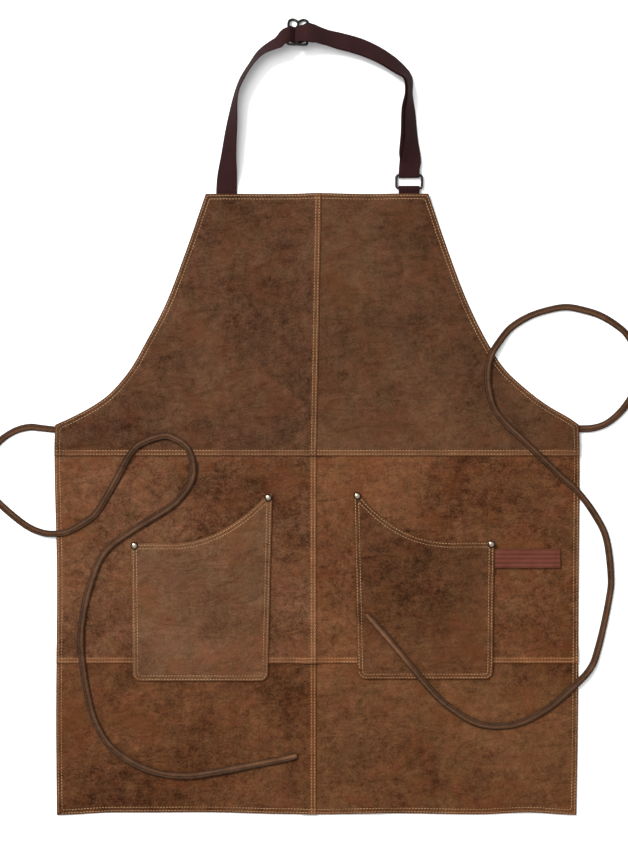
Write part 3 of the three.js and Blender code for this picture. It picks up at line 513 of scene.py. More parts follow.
def unit(vectors):
    return vectors / np.linalg.norm(vectors, axis=-1, keepdims=True)


def distances(line):
    """Distance along a line to each of its points."""
    return np.r_[0.0, np.cumsum(np.linalg.norm(np.diff(line, axis=0), axis=1))]


def points_at(line, along, spots):
    """Points of a line at the given distances along it."""
    return np.column_stack([np.interp(spots, along, column) for column in line.T])


def level_line(x, y):
    return np.column_stack([x, np.full(len(x), y)])


def spline(points, steps, centripetal=True):
    """Smooth curve through points, centripetal or uniform, with that many steps between each two."""
    points = np.asarray(points, float)
    beyond = 1.0 if centripetal else 0.0
    first = points[0] + beyond * (points[0] - points[1])
    last = points[-1] + beyond * (points[-1] - points[-2])
    ends = np.concatenate([[first], points, [last]])
    t = np.linspace(0.0, 1.0, steps, endpoint=False)[:, None]
    parts = []
    for a, b, c, d in zip(ends[:-3], ends[1:-2], ends[2:-1], ends[3:]):
        chords = ((a, b), (b, c), (c, d))
        before, here, after = (np.linalg.norm(q - p) ** (0.5 * beyond) for p, q in chords)
        start = here * ((b - a) / before - (c - a) / (before + here) + (c - b) / here)
        end = here * ((c - b) / here - (d - b) / (here + after) + (d - c) / after)
        rest = -3 * b + 3 * c - 2 * start - end
        parts.append(b + start * t + rest * t ** 2 + (2 * b - 2 * c + start + end) * t ** 3)
    return np.concatenate([*parts, points[-1:]])


def table_value(rows, y, column):
    """Smooth value of one column of a table whose first column rises."""
    ys = rows[:, 0]
    xs = rows[:, column]
    rise_y = np.r_[ys[1:], ys[-1]] - np.r_[ys[0], ys[:-1]]
    rise_x = np.r_[xs[1:], xs[-1]] - np.r_[xs[0], xs[:-1]]
    slopes = rise_x / rise_y
    i = np.clip(np.searchsorted(ys, y) - 1, 0, len(ys) - 2)
    span = ys[i + 1] - ys[i]
    t = np.clip((y - ys[i]) / span, 0.0, 1.0)
    ease = smooth(t, 0.0, 1.0)
    swing = slopes[i] * t * (1.0 - t) ** 2 - slopes[i + 1] * t * t * (1.0 - t)
    return xs[i] + (xs[i + 1] - xs[i]) * ease + span * swing


def edge_x(side, y):
    column = 1 if side == "left" else 2
    y = np.asarray(y, float)
    return np.where(y > WAIST_Y, table_value(ARMHOLE, y, column), table_value(SIDES, y, column))


def seam_x(y):
    share = np.clip((y - UPPER_SEAM_Y) / (BIB_TOP_Y - UPPER_SEAM_Y), 0.0, 1.0)
    return SEAM_WAIST_X + (SEAM_TOP_X - SEAM_WAIST_X) * share


def panel_span(panel, y):
    if panel.side == "left":
        return edge_x("left", y), seam_x(y)
    return seam_x(y) - SEAM_LAP, edge_x("right", y)


def panel_cover(panel, x, y):
    """1 over a panel, falling to 0 beside it."""
    low, high = panel.low, panel.high
    left, right = panel_span(panel, np.clip(y, low, high))
    outside = np.maximum.reduce([left - x, x - right, low - y, y - high])
    return 1.0 - smooth(outside, GAP, LAP_FALL - GAP)


def apron_outline():
    straight = np.arange(BOTTOM_Y, WAIST_Y, OUTLINE_STEP)
    curved = np.arange(WAIST_Y, BIB_TOP_Y, OUTLINE_STEP / 2)
    rising = np.concatenate([straight, curved, [BIB_TOP_Y]])
    left = np.column_stack([edge_x("left", rising), rising])
    right = np.column_stack([edge_x("right", rising), rising])[::-1]
    top = level_line(np.arange(left[-1, 0] + OUTLINE_STEP, right[0, 0], OUTLINE_STEP), BIB_TOP_Y)
    bottom = level_line(np.arange(right[-1, 0] - OUTLINE_STEP, left[0, 0], -OUTLINE_STEP), BOTTOM_Y)
    return np.concatenate([left, top, right, bottom])


def polygon_distance(polygon, x, y):
    """Distance from each point to the nearest side of a closed polygon."""
    x = np.asarray(x, float)
    y = np.asarray(y, float)
    nearest = np.full(x.shape, FAR)
    for (ax, ay), (bx, by) in zip(polygon, np.roll(polygon, -1, axis=0)):
        length = (bx - ax) ** 2 + (by - ay) ** 2
        share = np.clip(((x - ax) * (bx - ax) + (y - ay) * (by - ay)) / length, 0.0, 1.0)
        away = (x - ax - share * (bx - ax)) ** 2 + (y - ay - share * (by - ay)) ** 2
        nearest = np.minimum(nearest, away)
    return np.sqrt(nearest)


OUTLINE = apron_outline()
COARSE_OUTLINE = OUTLINE[::COARSE_STEP]


def lattice_noise(x, y, cell, seed):
    """Smooth noise from -1 to 1 between the corners of square cells."""
    lattice = np.random.default_rng(seed).uniform(-1.0, 1.0, (LATTICE, LATTICE))
    u = x / cell + LATTICE
    v = y / cell + LATTICE
    i = np.floor(u).astype(int)
    j = np.floor(v).astype(int)
    along = smooth(u - i, 0.0, 1.0)
    up = smooth(v - j, 0.0, 1.0)
    left, right, low, high = (k % LATTICE for k in (i, i + 1, j, j + 1))
    below = lattice[left, low] * (1 - along) + lattice[right, low] * along
    above = lattice[left, high] * (1 - along) + lattice[right, high] * along
    return below * (1 - up) + above * up


def pad_height(x, y):
    heights = []
    for left, right, low, high, lift, fall in PADS:
        dx = np.maximum(np.maximum(left - x, x - right), 0.0)
        dy = np.maximum(np.maximum(low - y, y - high), 0.0)
        heights.append(lift * (1.0 - smooth(np.hypot(dx, dy), 0.0, fall)))
    return np.maximum.reduce(heights)


def fold_height(x, y):
    total = np.zeros(np.shape(x))
    for fold_x, fold_y, turn, length, width, height in FOLDS:
        cosine, sine = np.cos(np.radians(turn)), np.sin(np.radians(turn))
        along = ((x - fold_x) * cosine + (y - fold_y) * sine) / length
        across = ((y - fold_y) * cosine - (x - fold_x) * sine) / width
        total += height * np.exp(-along ** 2 - across ** 2)
    return total


def dent_height(x, y):
    return sum(height * lattice_noise(x, y, cell, seed) for cell, height, seed in DENTS)


def sheet_level(layers_below, x, y):
    """Underside of a sheet's main layer, with the first few panels of the stack below it."""
    stack = sum(LAYER * panel_cover(panel, x, y) for panel in PANELS[:layers_below])
    sag = SAG * smooth(polygon_distance(COARSE_OUTLINE, x, y), HEM, HEM + SAG_REACH)
    return LEATHER + pad_height(x, y) + fold_height(x, y) + dent_height(x, y) - sag + stack


def edge_rise(x, y):
    """How far the waves of the lower edge and the peak of the bib shift the leather."""
    i = np.clip(np.searchsorted(HEM_WAVES[:, 0], x), 1, len(HEM_WAVES) - 1)
    before, after = HEM_WAVES[i - 1], HEM_WAVES[i]
    share = smooth(x, before[..., 0], after[..., 0])
    wave = before[..., 1] + share * (after[..., 1] - before[..., 1])
    low = 1.0 - smooth(y, BOTTOM_Y + ON_HEM, BOTTOM_Y + HEM_WAVE_REACH)
    peak = BIB_PEAK * bell(x, SEAM_TOP_X, BIB_PEAK_WIDTH)
    return wave * low + peak * smooth(y, BIB_TOP_Y - BIB_PEAK_REACH, BIB_TOP_Y - ON_HEM)


def thickness_share(distance, radius, rim):
    """Share of the leather's thickness near a rounded edge: rim at the edge, 1 a radius inside it."""
    inside = np.clip(distance / radius, 0.0, 1.0)
    return rim + (1.0 - rim) * np.sqrt(1.0 - (1.0 - inside) ** 2)


def rubbed(distance, amount, fade):
    return amount * np.exp(-distance / fade)


def groove(distance):
    return sum(GROOVE_DEPTH * bell(distance, row, GROOVE_WIDTH) for row in STITCH_ROWS)


# Making pieces

def add_object(name, data):
    made = bpy.data.objects.new(name, data)
    bpy.context.collection.objects.link(made)
    return made


def make_piece(name, points, faces, material, uv=None, wear_and_painted_light=None, nodes=()):
    """A smooth mesh on the body that stands for the given CAD nodes. uv and wear are given per point; the
    wear also carries painted highlights on a lace and painted shade on a rivet.
    """
    mesh = bpy.data.meshes.new(name)
    mesh.from_pydata((np.asarray(points) * MM).tolist(), [], [list(map(int, face)) for face in faces])
    if uv is not None:
        corners = np.zeros(len(mesh.loops), dtype=np.int32)
        mesh.loops.foreach_get("vertex_index", corners)
        layer = mesh.uv_layers.new(name="weave")
        layer.data.foreach_set("uv", (np.asarray(uv) * MM)[corners].ravel())
    if wear_and_painted_light is not None:
        attribute = mesh.attributes.new("wear_and_painted_light", "FLOAT", "POINT")
        attribute.data.foreach_set("value", np.clip(wear_and_painted_light, 0.0, 1.0).astype(np.float32))
    shell = bmesh.new()
    shell.from_mesh(mesh)
    bmesh.ops.recalc_face_normals(shell, faces=shell.faces)
    shell.to_mesh(mesh)
    shell.free()
    mesh.polygons.foreach_set("use_smooth", np.ones(len(mesh.polygons), dtype=bool))
    mesh.materials.append(material)
    piece = add_object(name, mesh)
    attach(piece, BODY)
    if nodes:
        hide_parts(*nodes)
    return piece


def grid_faces(rows, columns):
    """Faces of a closed sheet: a top grid of points, then an under grid of as many."""
    index = np.arange(rows * columns).reshape(rows, columns)
    under = index + rows * columns
    cells = [index[:-1, :-1], index[:-1, 1:], index[1:, 1:], index[1:, :-1]]
    top_faces = np.stack(cells, axis=-1).reshape(-1, 4)
    under_faces = top_faces[:, ::-1] + rows * columns
    loop = np.concatenate([index[0, :-1], index[:-1, -1], index[-1, :0:-1], index[:0:-1, 0]])
    under_loop = loop - index.min() + under.min()
    rim = np.column_stack([np.roll(loop, -1), loop, under_loop, np.roll(under_loop, -1)])
    return np.concatenate([top_faces, under_faces, rim])


def make_sheet(name, x, y, top, under, wear_and_painted_light, material, node):
    y = y + edge_rise(x, y)
    layers = [np.column_stack([x.ravel(), y.ravel(), height.ravel()]) for height in (top, under)]
    return make_piece(
        name, np.concatenate(layers), grid_faces(*x.shape), material, wear_and_painted_light=np.tile(wear_and_painted_light.ravel(), 2),
        nodes=[node],
    )


def tube_faces(rings, sides, closed):
    index = np.arange(rings * sides).reshape(rings, sides)
    following = np.roll(index, -1, axis=0) if closed else index[1:]
    starting = index if closed else index[:-1]
    faces = np.stack(
        [starting, np.roll(starting, -1, axis=1), np.roll(following, -1, axis=1), following], axis=-1
    ).reshape(-1, 4)
    if closed:
        return list(faces)
    return [*faces, index[0, ::-1], index[-1]]


def sweep(stations, section):
    """Points of a section (across, up) carried along stations, with weave coordinates (along, across)."""
    middle, side, up = stations
    across, rise = section.T
    points = middle[:, None] + side[:, None] * across[None, :, None] + up[:, None] * rise[None, :, None]
    weave = np.stack(np.broadcast_arrays(distances(middle)[:, None], across[None, :]), axis=-1)
    return points.reshape(-1, 3), weave.reshape(-1, 2)


def webbing_section(width, thickness):
    across = width / 2 * np.sin(np.linspace(-np.pi / 2, np.pi / 2, WEBBING_POINTS))
    inside = np.maximum(0.0, 1.0 - np.abs(2 * across / width) ** WEBBING_SQUARENESS)
    half = thickness / 2 * np.sqrt(inside)
    top = np.column_stack([across, half])
    low = np.column_stack([across, -half])[-2:0:-1]
    return np.concatenate([top, low])


def make_band(name, stations, size, material, node):
    section = webbing_section(*size)
    points, weave = sweep(stations, section)
    faces = tube_faces(len(stations[0]), len(section), closed=False)
    make_piece(name, points, faces, material, uv=weave, nodes=[node])


# Materials

def set_inputs(tree, node, inputs):
    """Sets inputs given as (socket name or number, value or socket)."""
    for socket, value in inputs:
        if isinstance(value, bpy.types.NodeSocket):
            tree.links.new(value, node.inputs[socket])
        else:
            node.inputs[socket].default_value = value


def add_node(tree, kind, inputs=(), **settings):
    made = tree.nodes.new(kind)
    for key, value in settings.items():
        setattr(made, key, value)
    set_inputs(tree, made, inputs)
    return made


def start_material(name):
    """A material with its node tree, its shader and the place on the object."""
    material = bpy.data.materials.new(name)
    material.use_nodes = True
    tree = material.node_tree
    place = add_node(tree, "ShaderNodeTexCoord").outputs["Object"]
    return material, tree, tree.nodes["Principled BSDF"], place


def add_noise(tree, vector, scale, detail, roughness, distortion=0.0):
    inputs = [
        ("Vector", vector), ("Scale", scale), ("Detail", detail),
        ("Roughness", roughness), ("Distortion", distortion),
    ]
    return add_node(tree, "ShaderNodeTexNoise", inputs).outputs["Fac"]


def add_range(tree, value, low, high, to_low, to_high):
    inputs = [
        ("Value", value), ("From Min", low), ("From Max", high), ("To Min", to_low), ("To Max", to_high),
    ]
    return add_node(tree, "ShaderNodeMapRange", inputs).outputs["Result"]


def add_mix(tree, share, first, second, blend="MIX"):
    inputs = [(0, share), (6, first), (7, second)]
    return add_node(tree, "ShaderNodeMix", inputs, data_type="RGBA", blend_type=blend).outputs[2]


def add_math(tree, operation, first, second):
    return add_node(tree, "ShaderNodeMath", [(0, first), (1, second)], operation=operation).outputs[0]


def add_bump(tree, height, strength, distance):
    inputs = [("Strength", strength), ("Distance", distance), ("Height", height)]
    return add_node(tree, "ShaderNodeBump", inputs).outputs["Normal"]


# Reads the wear attribute: rubbed leather, and also painted highlights on a lace and painted shade on a
# rivet.
def add_wear_and_painted_light(tree):
    return add_node(tree, "ShaderNodeAttribute", attribute_name="wear_and_painted_light").outputs["Fac"]


def seen(red, green, blue):
    """Surface colour that looks like an sRGB colour, from 0 to 255, in the light of the scene."""
    channels = np.array([red, green, blue]) / 255.0
    linear = np.where(channels <= 0.04045, channels / 12.92, ((channels + 0.055) / 1.055) ** 2.4)
    return (*(linear / LIGHT_LEVEL), 1.0)


def tinted(color, red, green, blue):
    return (color[0] * red, color[1] * green, color[2] * blue, 1.0)


def leather_material(name, tone, unevenness, rub_and_highlight, seed):
    """Oiled hide: broad patches, mottling, a fine grain, and paler rubbed edges; on a lace that paler tint
    also paints highlights along its top. The seed moves the pattern.
    """
    material, tree, shader, place = start_material(name)
    base = seen(*tone)
    shift = [("Vector", place), ("Location", HIDE_SHIFT * seed)]
    hide = add_node(tree, "ShaderNodeMapping", shift).outputs["Vector"]
    layers = {layer: add_noise(tree, hide, *noise) for layer, noise in HIDE_NOISE.items()}
    value = HIDE_MIDDLE
    for layer, reach in HIDE_SWING.items():
        swing = reach * unevenness
        value = add_math(tree, "ADD", value, add_range(tree, layers[layer], *HIDE_SPREAD, -swing, swing))
    color = add_mix(tree, value, tinted(base, *HIDE_DARK), tinted(base, *HIDE_LIGHT))
    for start, end, tint in HIDE_TINTS:
        share = add_range(tree, layers["blush"], start, end, 0.0, HIDE_TINT_SHARE)
        color = add_mix(tree, share, color, tinted(base, *tint))
    flush = add_mix(tree, add_range(tree, layers["flush"], *FLUSH_SHARE), *HIDE_FLUSH)
    color = add_mix(tree, 1.0, color, flush, "MULTIPLY")
    # Paler where rubbed, and on a lace also where highlights are painted along its top.
    worn_and_painted_highlight = add_math(tree, "MULTIPLY", add_wear_and_painted_light(tree), add_range(tree, layers["mottle"], *RUB_SHARE))
    color = add_mix(tree, worn_and_painted_highlight, color, tinted(base, *rub_and_highlight))
    pull = [("Vector", hide), ("Rotation", Z_AXIS * WRINKLE_TURN * seed), ("Scale", WRINKLE_PULL)]
    pulled = add_node(tree, "ShaderNodeMapping", pull).outputs["Vector"]
    layers["wrinkles"] = add_noise(tree, pulled, *WRINKLE_NOISE)
    pebble = [("Vector", hide), ("Scale", PEBBLE_SCALE)]
    layers["pebble"] = add_node(tree, "ShaderNodeTexVoronoi", pebble).outputs["Distance"]
    height = 0.0
    for layer, depth in HIDE_RELIEF.items():
        height = add_math(tree, "ADD", height, add_math(tree, "MULTIPLY", layers[layer], depth))
    set_inputs(tree, shader, [
        ("Base Color", color),
        ("Roughness", add_range(tree, layers["mottle"], *HIDE_ROUGHNESS)),
        ("Specular IOR Level", SOFT_SPECULAR),
        ("Normal", add_bump(tree, height, *HIDE_BUMP)),
    ])
    return material


def webbing_material(name, dark, light, rib, line, line_depth):
    """Woven tape: ribs across it every rib mm and lines along it every line mm."""
    material, tree, shader, place = start_material(name)
    weave = add_node(tree, "ShaderNodeUVMap", uv_map="weave").outputs["UV"]
    waves = []
    for direction, pitch in (("X", rib), ("Y", line)):
        inputs = [("Vector", weave), ("Scale", WAVE_SCALE / (pitch * MM)), ("Distortion", WAVE_DISTORTION)]
        waves.append(add_node(tree, "ShaderNodeTexWave", inputs, bands_direction=direction).outputs["Fac"])
    lines = add_range(tree, waves[1], 0.0, 1.0, 1.0 - line_depth, 1.0)
    cloth = add_math(tree, "MULTIPLY", waves[0], lines)
    woven = add_math(tree, "MULTIPLY", cloth, WEAVE_SHARE)
    shade = add_math(tree, "MULTIPLY", add_noise(tree, place, *WEBBING_SHADE), SHADE_SHARE)
    fuzz = add_math(tree, "MULTIPLY", add_noise(tree, place, *WEBBING_FUZZ), FUZZ_SHARE)
    set_inputs(tree, shader, [
        ("Base Color", add_mix(tree, add_math(tree, "ADD", woven, shade), seen(*dark), seen(*light))),
        ("Roughness", WEBBING_ROUGHNESS),
        ("Specular IOR Level", SOFT_SPECULAR),
        ("Normal", add_bump(tree, add_math(tree, "ADD", cloth, fuzz), *WEBBING_BUMP)),
    ])
    return material


def metal_material(name, tone, scuffed_tone, roughness, grain):
    """Scuffed metal, darkened by painted shade where the piece's attribute gives it, as on a rivet's rim."""
    material, tree, shader, place = start_material(name)
    scuffed = seen(*scuffed_tone)
    scuffs = add_noise(tree, place, grain, *SCUFF_NOISE)
    base = add_mix(tree, add_range(tree, scuffs, *SCUFF_SHARE), seen(*tone), scuffed)
    smoothest, roughest = (roughness * share for share in METAL_ROUGHNESS)
    set_inputs(tree, shader, [
        ("Base Color", add_mix(tree, add_wear_and_painted_light(tree), base, tinted(scuffed, *PAINTED_SHADE_TINT))),
        ("Metallic", 1.0),
        ("Roughness", add_range(tree, scuffs, *SCUFF_SPREAD, smoothest, roughest)),
        ("Normal", add_bump(tree, scuffs, *METAL_BUMP)),
    ])
    return material


def thread_material(name, dark, light):
    """Twisted thread whose tone drifts along the seams."""
    material, tree, shader, place = start_material(name)
    drift = add_range(tree, add_noise(tree, place, *THREAD_DRIFT), *DRIFT_SHARE)
    twist = add_noise(tree, place, *THREAD_TWIST)
    base = add_mix(tree, drift, seen(*dark), seen(*light))
    strands = add_range(tree, twist, *TWIST_TINT)
    set_inputs(tree, shader, [
        ("Base Color", add_mix(tree, 1.0, base, strands, "MULTIPLY")),
        ("Roughness", THREAD_ROUGHNESS),
        ("Normal", add_bump(tree, twist, *THREAD_BUMP)),
    ])
    return material


def floor_material(name):
    material, tree, shader, place = start_material(name)
    set_inputs(tree, shader, [
        ("Base Color", add_mix(tree, add_noise(tree, place, *FLOOR_NOISE), *FLOOR_TONES)),
        ("Roughness", FLOOR_ROUGHNESS),
        ("Specular IOR Level", FLOOR_SPECULAR),
    ])
    return material


# Panels

def panel_rows(panel):
    low, high = panel.low, panel.high
    field = np.arange(low + FIELD_START, high - FIELD_END, FIELD_STEP)
    rows = [low + EDGE_STOPS, high - EDGE_STOPS, field]
    if high == BIB_TOP_Y:
        rows.append(np.arange(*WAIST_ROWS))
    ordered = np.unique(np.round(np.concatenate(rows), 2))
    return ordered[np.r_[True, np.diff(ordered) > LEAST_ROW]]


def panel_grid(panel):
    """Rows of constant y; columns keep their distance from the free edge and from the seam."""
    side = panel.side
    y = panel_rows(panel)
    left, right = panel_span(panel, y)
    slope = (edge_x(side, y + SLOPE_REACH) - edge_x(side, y - SLOPE_REACH)) / (2 * SLOPE_REACH)
    stretch = np.minimum(np.sqrt(1.0 + slope ** 2), MOST_STRETCH)
    outer = EDGE_STOPS[None, :] * stretch[:, None]
    inner = np.broadcast_to(EDGE_STOPS, outer.shape)
    width = (right - left)[:, None]
    share = np.linspace(0.0, 1.0, FIELD_COLUMNS + 2)[1:-1]
    field = outer[:, -1:] + share * (width - outer[:, -1:] - inner[:, -1:])
    offsets = np.concatenate([outer, field, width - inner[:, ::-1]], axis=1)
    x = left[:, None] + offsets if side == "left" else (right[:, None] - offsets)[:, ::-1]
    return x, np.broadcast_to(y[:, None], x.shape)


def panel_edges(panel, x, y):
    """Distance to the nearest raw edge, and to the nearest raw edge that shows and is sewn down."""
    side, low, high = panel[1:]
    left, right = panel_span(panel, y)
    raw = right - x if side == "left" else x - left
    sewn = right - x if side == "left" else np.full(x.shape, FAR)
    if low != BOTTOM_Y:
        raw = np.minimum(raw, y - low)
        sewn = np.minimum(sewn, y - low)
    if high != BIB_TOP_Y:
        raw = np.minimum(raw, high - y)
    return raw, sewn


def make_panel(panel, material):
    below = PANELS.index(panel)
    x, y = panel_grid(panel)
    main = sheet_level(below, x, y)
    free = polygon_distance(OUTLINE, x, y)
    raw, sewn = panel_edges(panel, x, y)
    covers = [panel_cover(other, x, y) for other in PANELS[:below]]
    lap = np.maximum.reduce([np.zeros(x.shape), *covers])
    hem = 1.0 - smooth(free, HEM, HEM + HEM_FALL)
    turned = thickness_share(free, LEATHER, TURNED_RIM)
    cut = thickness_share(raw, CUT_RADIUS, CUT_RIM)
    top = main + LEATHER * np.minimum(turned, cut) - groove(np.minimum(free, sewn))
    under = main - LEATHER * hem * (1.0 - lap) * turned
    sewn = np.maximum(sewn, 0.0)
    wear_and_painted_light = rubbed(free, *EDGE_WEAR) + rubbed(sewn, *SEAM_WEAR) + BAND_WEAR * plateau(sewn, *WORN_BAND)
    piece = make_sheet(panel.name + "_leather", x, y, top, under, wear_and_painted_light, material, panel.name)


def panel_top(x, y):
    """Top of whichever panel lies highest at each point, in the groove of a stitch row."""
    height = np.zeros(np.shape(x))
    for below, panel in enumerate(PANELS):
        left, right = panel_span(panel, y)
        inside = (x >= left) & (x <= right) & (y >= panel.low) & (y <= panel.high)
        height = np.where(inside, sheet_level(below, x, y) + LEATHER - GROOVE_DEPTH, height)
    return height


# Pockets

def mouth_y(pocket, share):
    rise = np.maximum(0.0, 1.0 - share * POCKET_WIDTH / MOUTH_REACH) ** pocket["power"]
    return pocket["y"] + np.minimum(POCKET_TOP_Y, MOUTH_LOW_Y + MOUTH_RISE * rise)


def pocket_sides(pocket, y):
    down = np.clip((POCKET_TOP_Y + pocket["y"] - y) / (POCKET_TOP_Y - POCKET_BOTTOM_Y), 0.0, 1.0)
    inner = POCKET_INNER + POCKET_INNER_TAPER * down
    outer = POCKET_INNER + POCKET_WIDTH - POCKET_OUTER_TAPER * down
    return inner, outer


def pocket_x(pocket, share, y):
    inner, outer = pocket_sides(pocket, y)
    return POCKET_MIRROR_X + pocket["x"] + pocket["hand"] * (inner + share * (outer - inner))


def pocket_share(pocket, x, y):
    inner, outer = pocket_sides(pocket, y)
    return (pocket["hand"] * (x - POCKET_MIRROR_X - pocket["x"]) - inner) / (outer - inner)


def pocket_gape(pocket, share, y):
    """How far the front of a pocket stands off the panel behind it."""
    low = POCKET_BOTTOM_Y + pocket["y"] + GAPE_LOW
    up = smooth(y, low, mouth_y(pocket, share) - GAPE_HIGH)
    return GAPE * plateau(share, *GAPE_SHARES) * up


def pocket_low(pocket, share):
    """Bottom edge of a pocket, with its round corners."""
    from_side = np.clip(np.minimum(share, 1.0 - share) * POCKET_WIDTH, 0.0, POCKET_CORNER)
    rise = POCKET_CORNER - np.sqrt(POCKET_CORNER ** 2 - (POCKET_CORNER - from_side) ** 2)
    return POCKET_BOTTOM_Y + pocket["y"] + rise


def side_tab_cover(x, y):
    outside = np.maximum.reduce([
        SIDE_TAB_LEFT - x, x - SIDE_TAB_RIGHT, np.abs(y - SIDE_TAB_Y) - SIDE_TAB.width / 2,
    ])
    return 1.0 - smooth(outside, *SIDE_TAB_LIFT)


def pocket_level(x, y):
    tab = 2 * SIDE_TAB.thickness + SIDE_TAB_SPACE + GAP
    return sheet_level(len(PANELS), x, y) + side_tab_cover(x, y) * tab


def pocket_main(pocket, x, y):
    return pocket_level(x, y) + LEATHER + pocket_gape(pocket, pocket_share(pocket, x, y), y)


def pocket_outline(pocket):
    shares = np.concatenate([CORNER_SHARES, MIDDLE_SHARES, 1.0 - CORNER_SHARES[::-1]])
    low_y = pocket_low(pocket, shares)
    high_y = mouth_y(pocket, shares)
    low = np.column_stack([pocket_x(pocket, shares, low_y), low_y])
    high = np.column_stack([pocket_x(pocket, shares, high_y), high_y])[::-1]
    outer_y = np.arange(low[-1, 1] + POCKET_STEP, high[0, 1], POCKET_STEP)
    inner_y = np.arange(high[-1, 1] - POCKET_STEP, low[0, 1], -POCKET_STEP)
    outer = np.column_stack([pocket_x(pocket, 1.0, outer_y), outer_y])
    inner = np.column_stack([pocket_x(pocket, 0.0, inner_y), inner_y])
    return np.concatenate([low, outer, high, inner])


def make_pocket(side, pocket, material):
    stops = EDGE_STOPS / POCKET_WIDTH
    between = np.linspace(stops[-1], 1.0 - stops[-1], POCKET_COLUMNS)[1:-1]
    shares = np.concatenate([stops, between, 1.0 - stops[::-1]])
    if pocket["hand"] < 0:
        shares = shares[::-1]
    first = pocket_low(pocket, shares) + EDGE_STOPS[:, None]
    last = mouth_y(pocket, shares) - EDGE_STOPS[::-1, None]
    part = np.linspace(0.0, 1.0, POCKET_ROWS)[1:-1, None]
    y = np.concatenate([first, first[-1] + part * (last[0] - first[-1]), last])
    x = pocket_x(pocket, shares[None, :], y)
    main = pocket_main(pocket, x, y)
    edge = polygon_distance(pocket_outline(pocket), x, y)
    border = 1.0 - smooth(edge, POCKET_HEM, POCKET_HEM + HEM_FALL)
    turned = thickness_share(edge, LEATHER, TURNED_RIM)
    top = main + LEATHER * turned - groove(edge)
    under = main - LEATHER * border * turned
    name = f"pocket_{side}"
    wear_and_painted_light = rubbed(edge, *POCKET_WEAR)
    piece = make_sheet(name + "_leather", x, y, top, under, wear_and_painted_light, material, name)


# Stitches

def inset(outline, distance):
    """The line a set distance inside a closed outline."""
    along = unit(np.roll(outline, -1, axis=0) - np.roll(outline, 1, axis=0))
    inward = np.column_stack([along[:, 1], -along[:, 0]])
    area = np.sum(outline[:, 0] * np.roll(outline[:, 1], -1) - np.roll(outline[:, 0], -1) * outline[:, 1])
    if area > 0:
        inward = -inward
    line = outline + distance * inward
    kept = polygon_distance(outline, line[:, 0], line[:, 1]) > distance - INSET_SLACK
    line = line[kept]
    return np.concatenate([line, line[:1]])


def stitch_points(line, rng):
    """Thread between needle holes along a line of surface points: a short sunk capsule for each stitch."""
    place, size = STITCH_RINGS.T
    turns = full_turn(STITCH_SIDES)
    along = distances(line)
    starts = np.arange(0.5 * (STITCH_PITCH - STITCH_LENGTH), along[-1] - STITCH_LENGTH, STITCH_PITCH)
    first = points_at(line, along, starts)
    last = points_at(line, along, starts + STITCH_LENGTH)
    travel = unit(last - first)
    side = unit(np.cross(travel, Z_AXIS))
    side += rng.normal(0.0, STITCH_SLANT, (len(starts), 1)) * travel
    up = unit(np.cross(side, travel))
    middle = (first + last) / 2 + side * rng.normal(0.0, STITCH_DRIFT, (len(starts), 1))
    middle += up * STITCH_RADIUS * STITCH_STAND
    sink = STITCH_RADIUS * STITCH_SINK * np.abs(place) ** 3
    radius = STITCH_RADIUS * size[:, None]
    aside = radius * np.cos(turns)
    above = radius * np.sin(turns) - sink[:, None]
    points = (
        middle[:, None, None]
        + travel[:, None, None] * (STITCH_LENGTH / 2 * place)[None, :, None, None]
        + side[:, None, None] * aside[None, :, :, None]
        + up[:, None, None] * above[None, :, :, None]
    )
    return points.reshape(-1, aside.size, 3)


def make_stitches(name, lines, material):
    rng = np.random.default_rng(STITCH_SEED)
    capsules = np.concatenate([stitch_points(line, rng) for line in lines])
    pattern = tube_faces(len(STITCH_RINGS), STITCH_SIDES, closed=False)
    faces = [face + capsules.shape[1] * k for k in range(len(capsules)) for face in pattern]
    make_piece(name, capsules.reshape(-1, 3), faces, material)


def panel_stitch_lines():
    step = STITCH_LINE_STEP
    lines = []
    for row in STITCH_ROWS:
        lines.append(inset(OUTLINE, row))
        for seam in (UPPER_SEAM_Y, LOWER_SEAM_Y):
            x = np.arange(edge_x("left", seam) + step, edge_x("right", seam) - step, step)
            lines.append(level_line(x, seam + row))
        y = np.arange(BOTTOM_Y + step, BIB_TOP_Y - step, step)
        lines.append(np.column_stack([seam_x(y) - row, y]))
    return [np.column_stack([x, y + edge_rise(x, y), panel_top(x, y)]) for x, y in (line.T for line in lines)]


def pocket_stitch_lines(pocket):
    lines = []
    for row in STITCH_ROWS:
        line = inset(pocket_outline(pocket), row)
        height = pocket_main(pocket, line[:, 0], line[:, 1]) + LEATHER - GROOVE_DEPTH
        lines.append(np.column_stack([line, height]))
    return lines


# Rivets

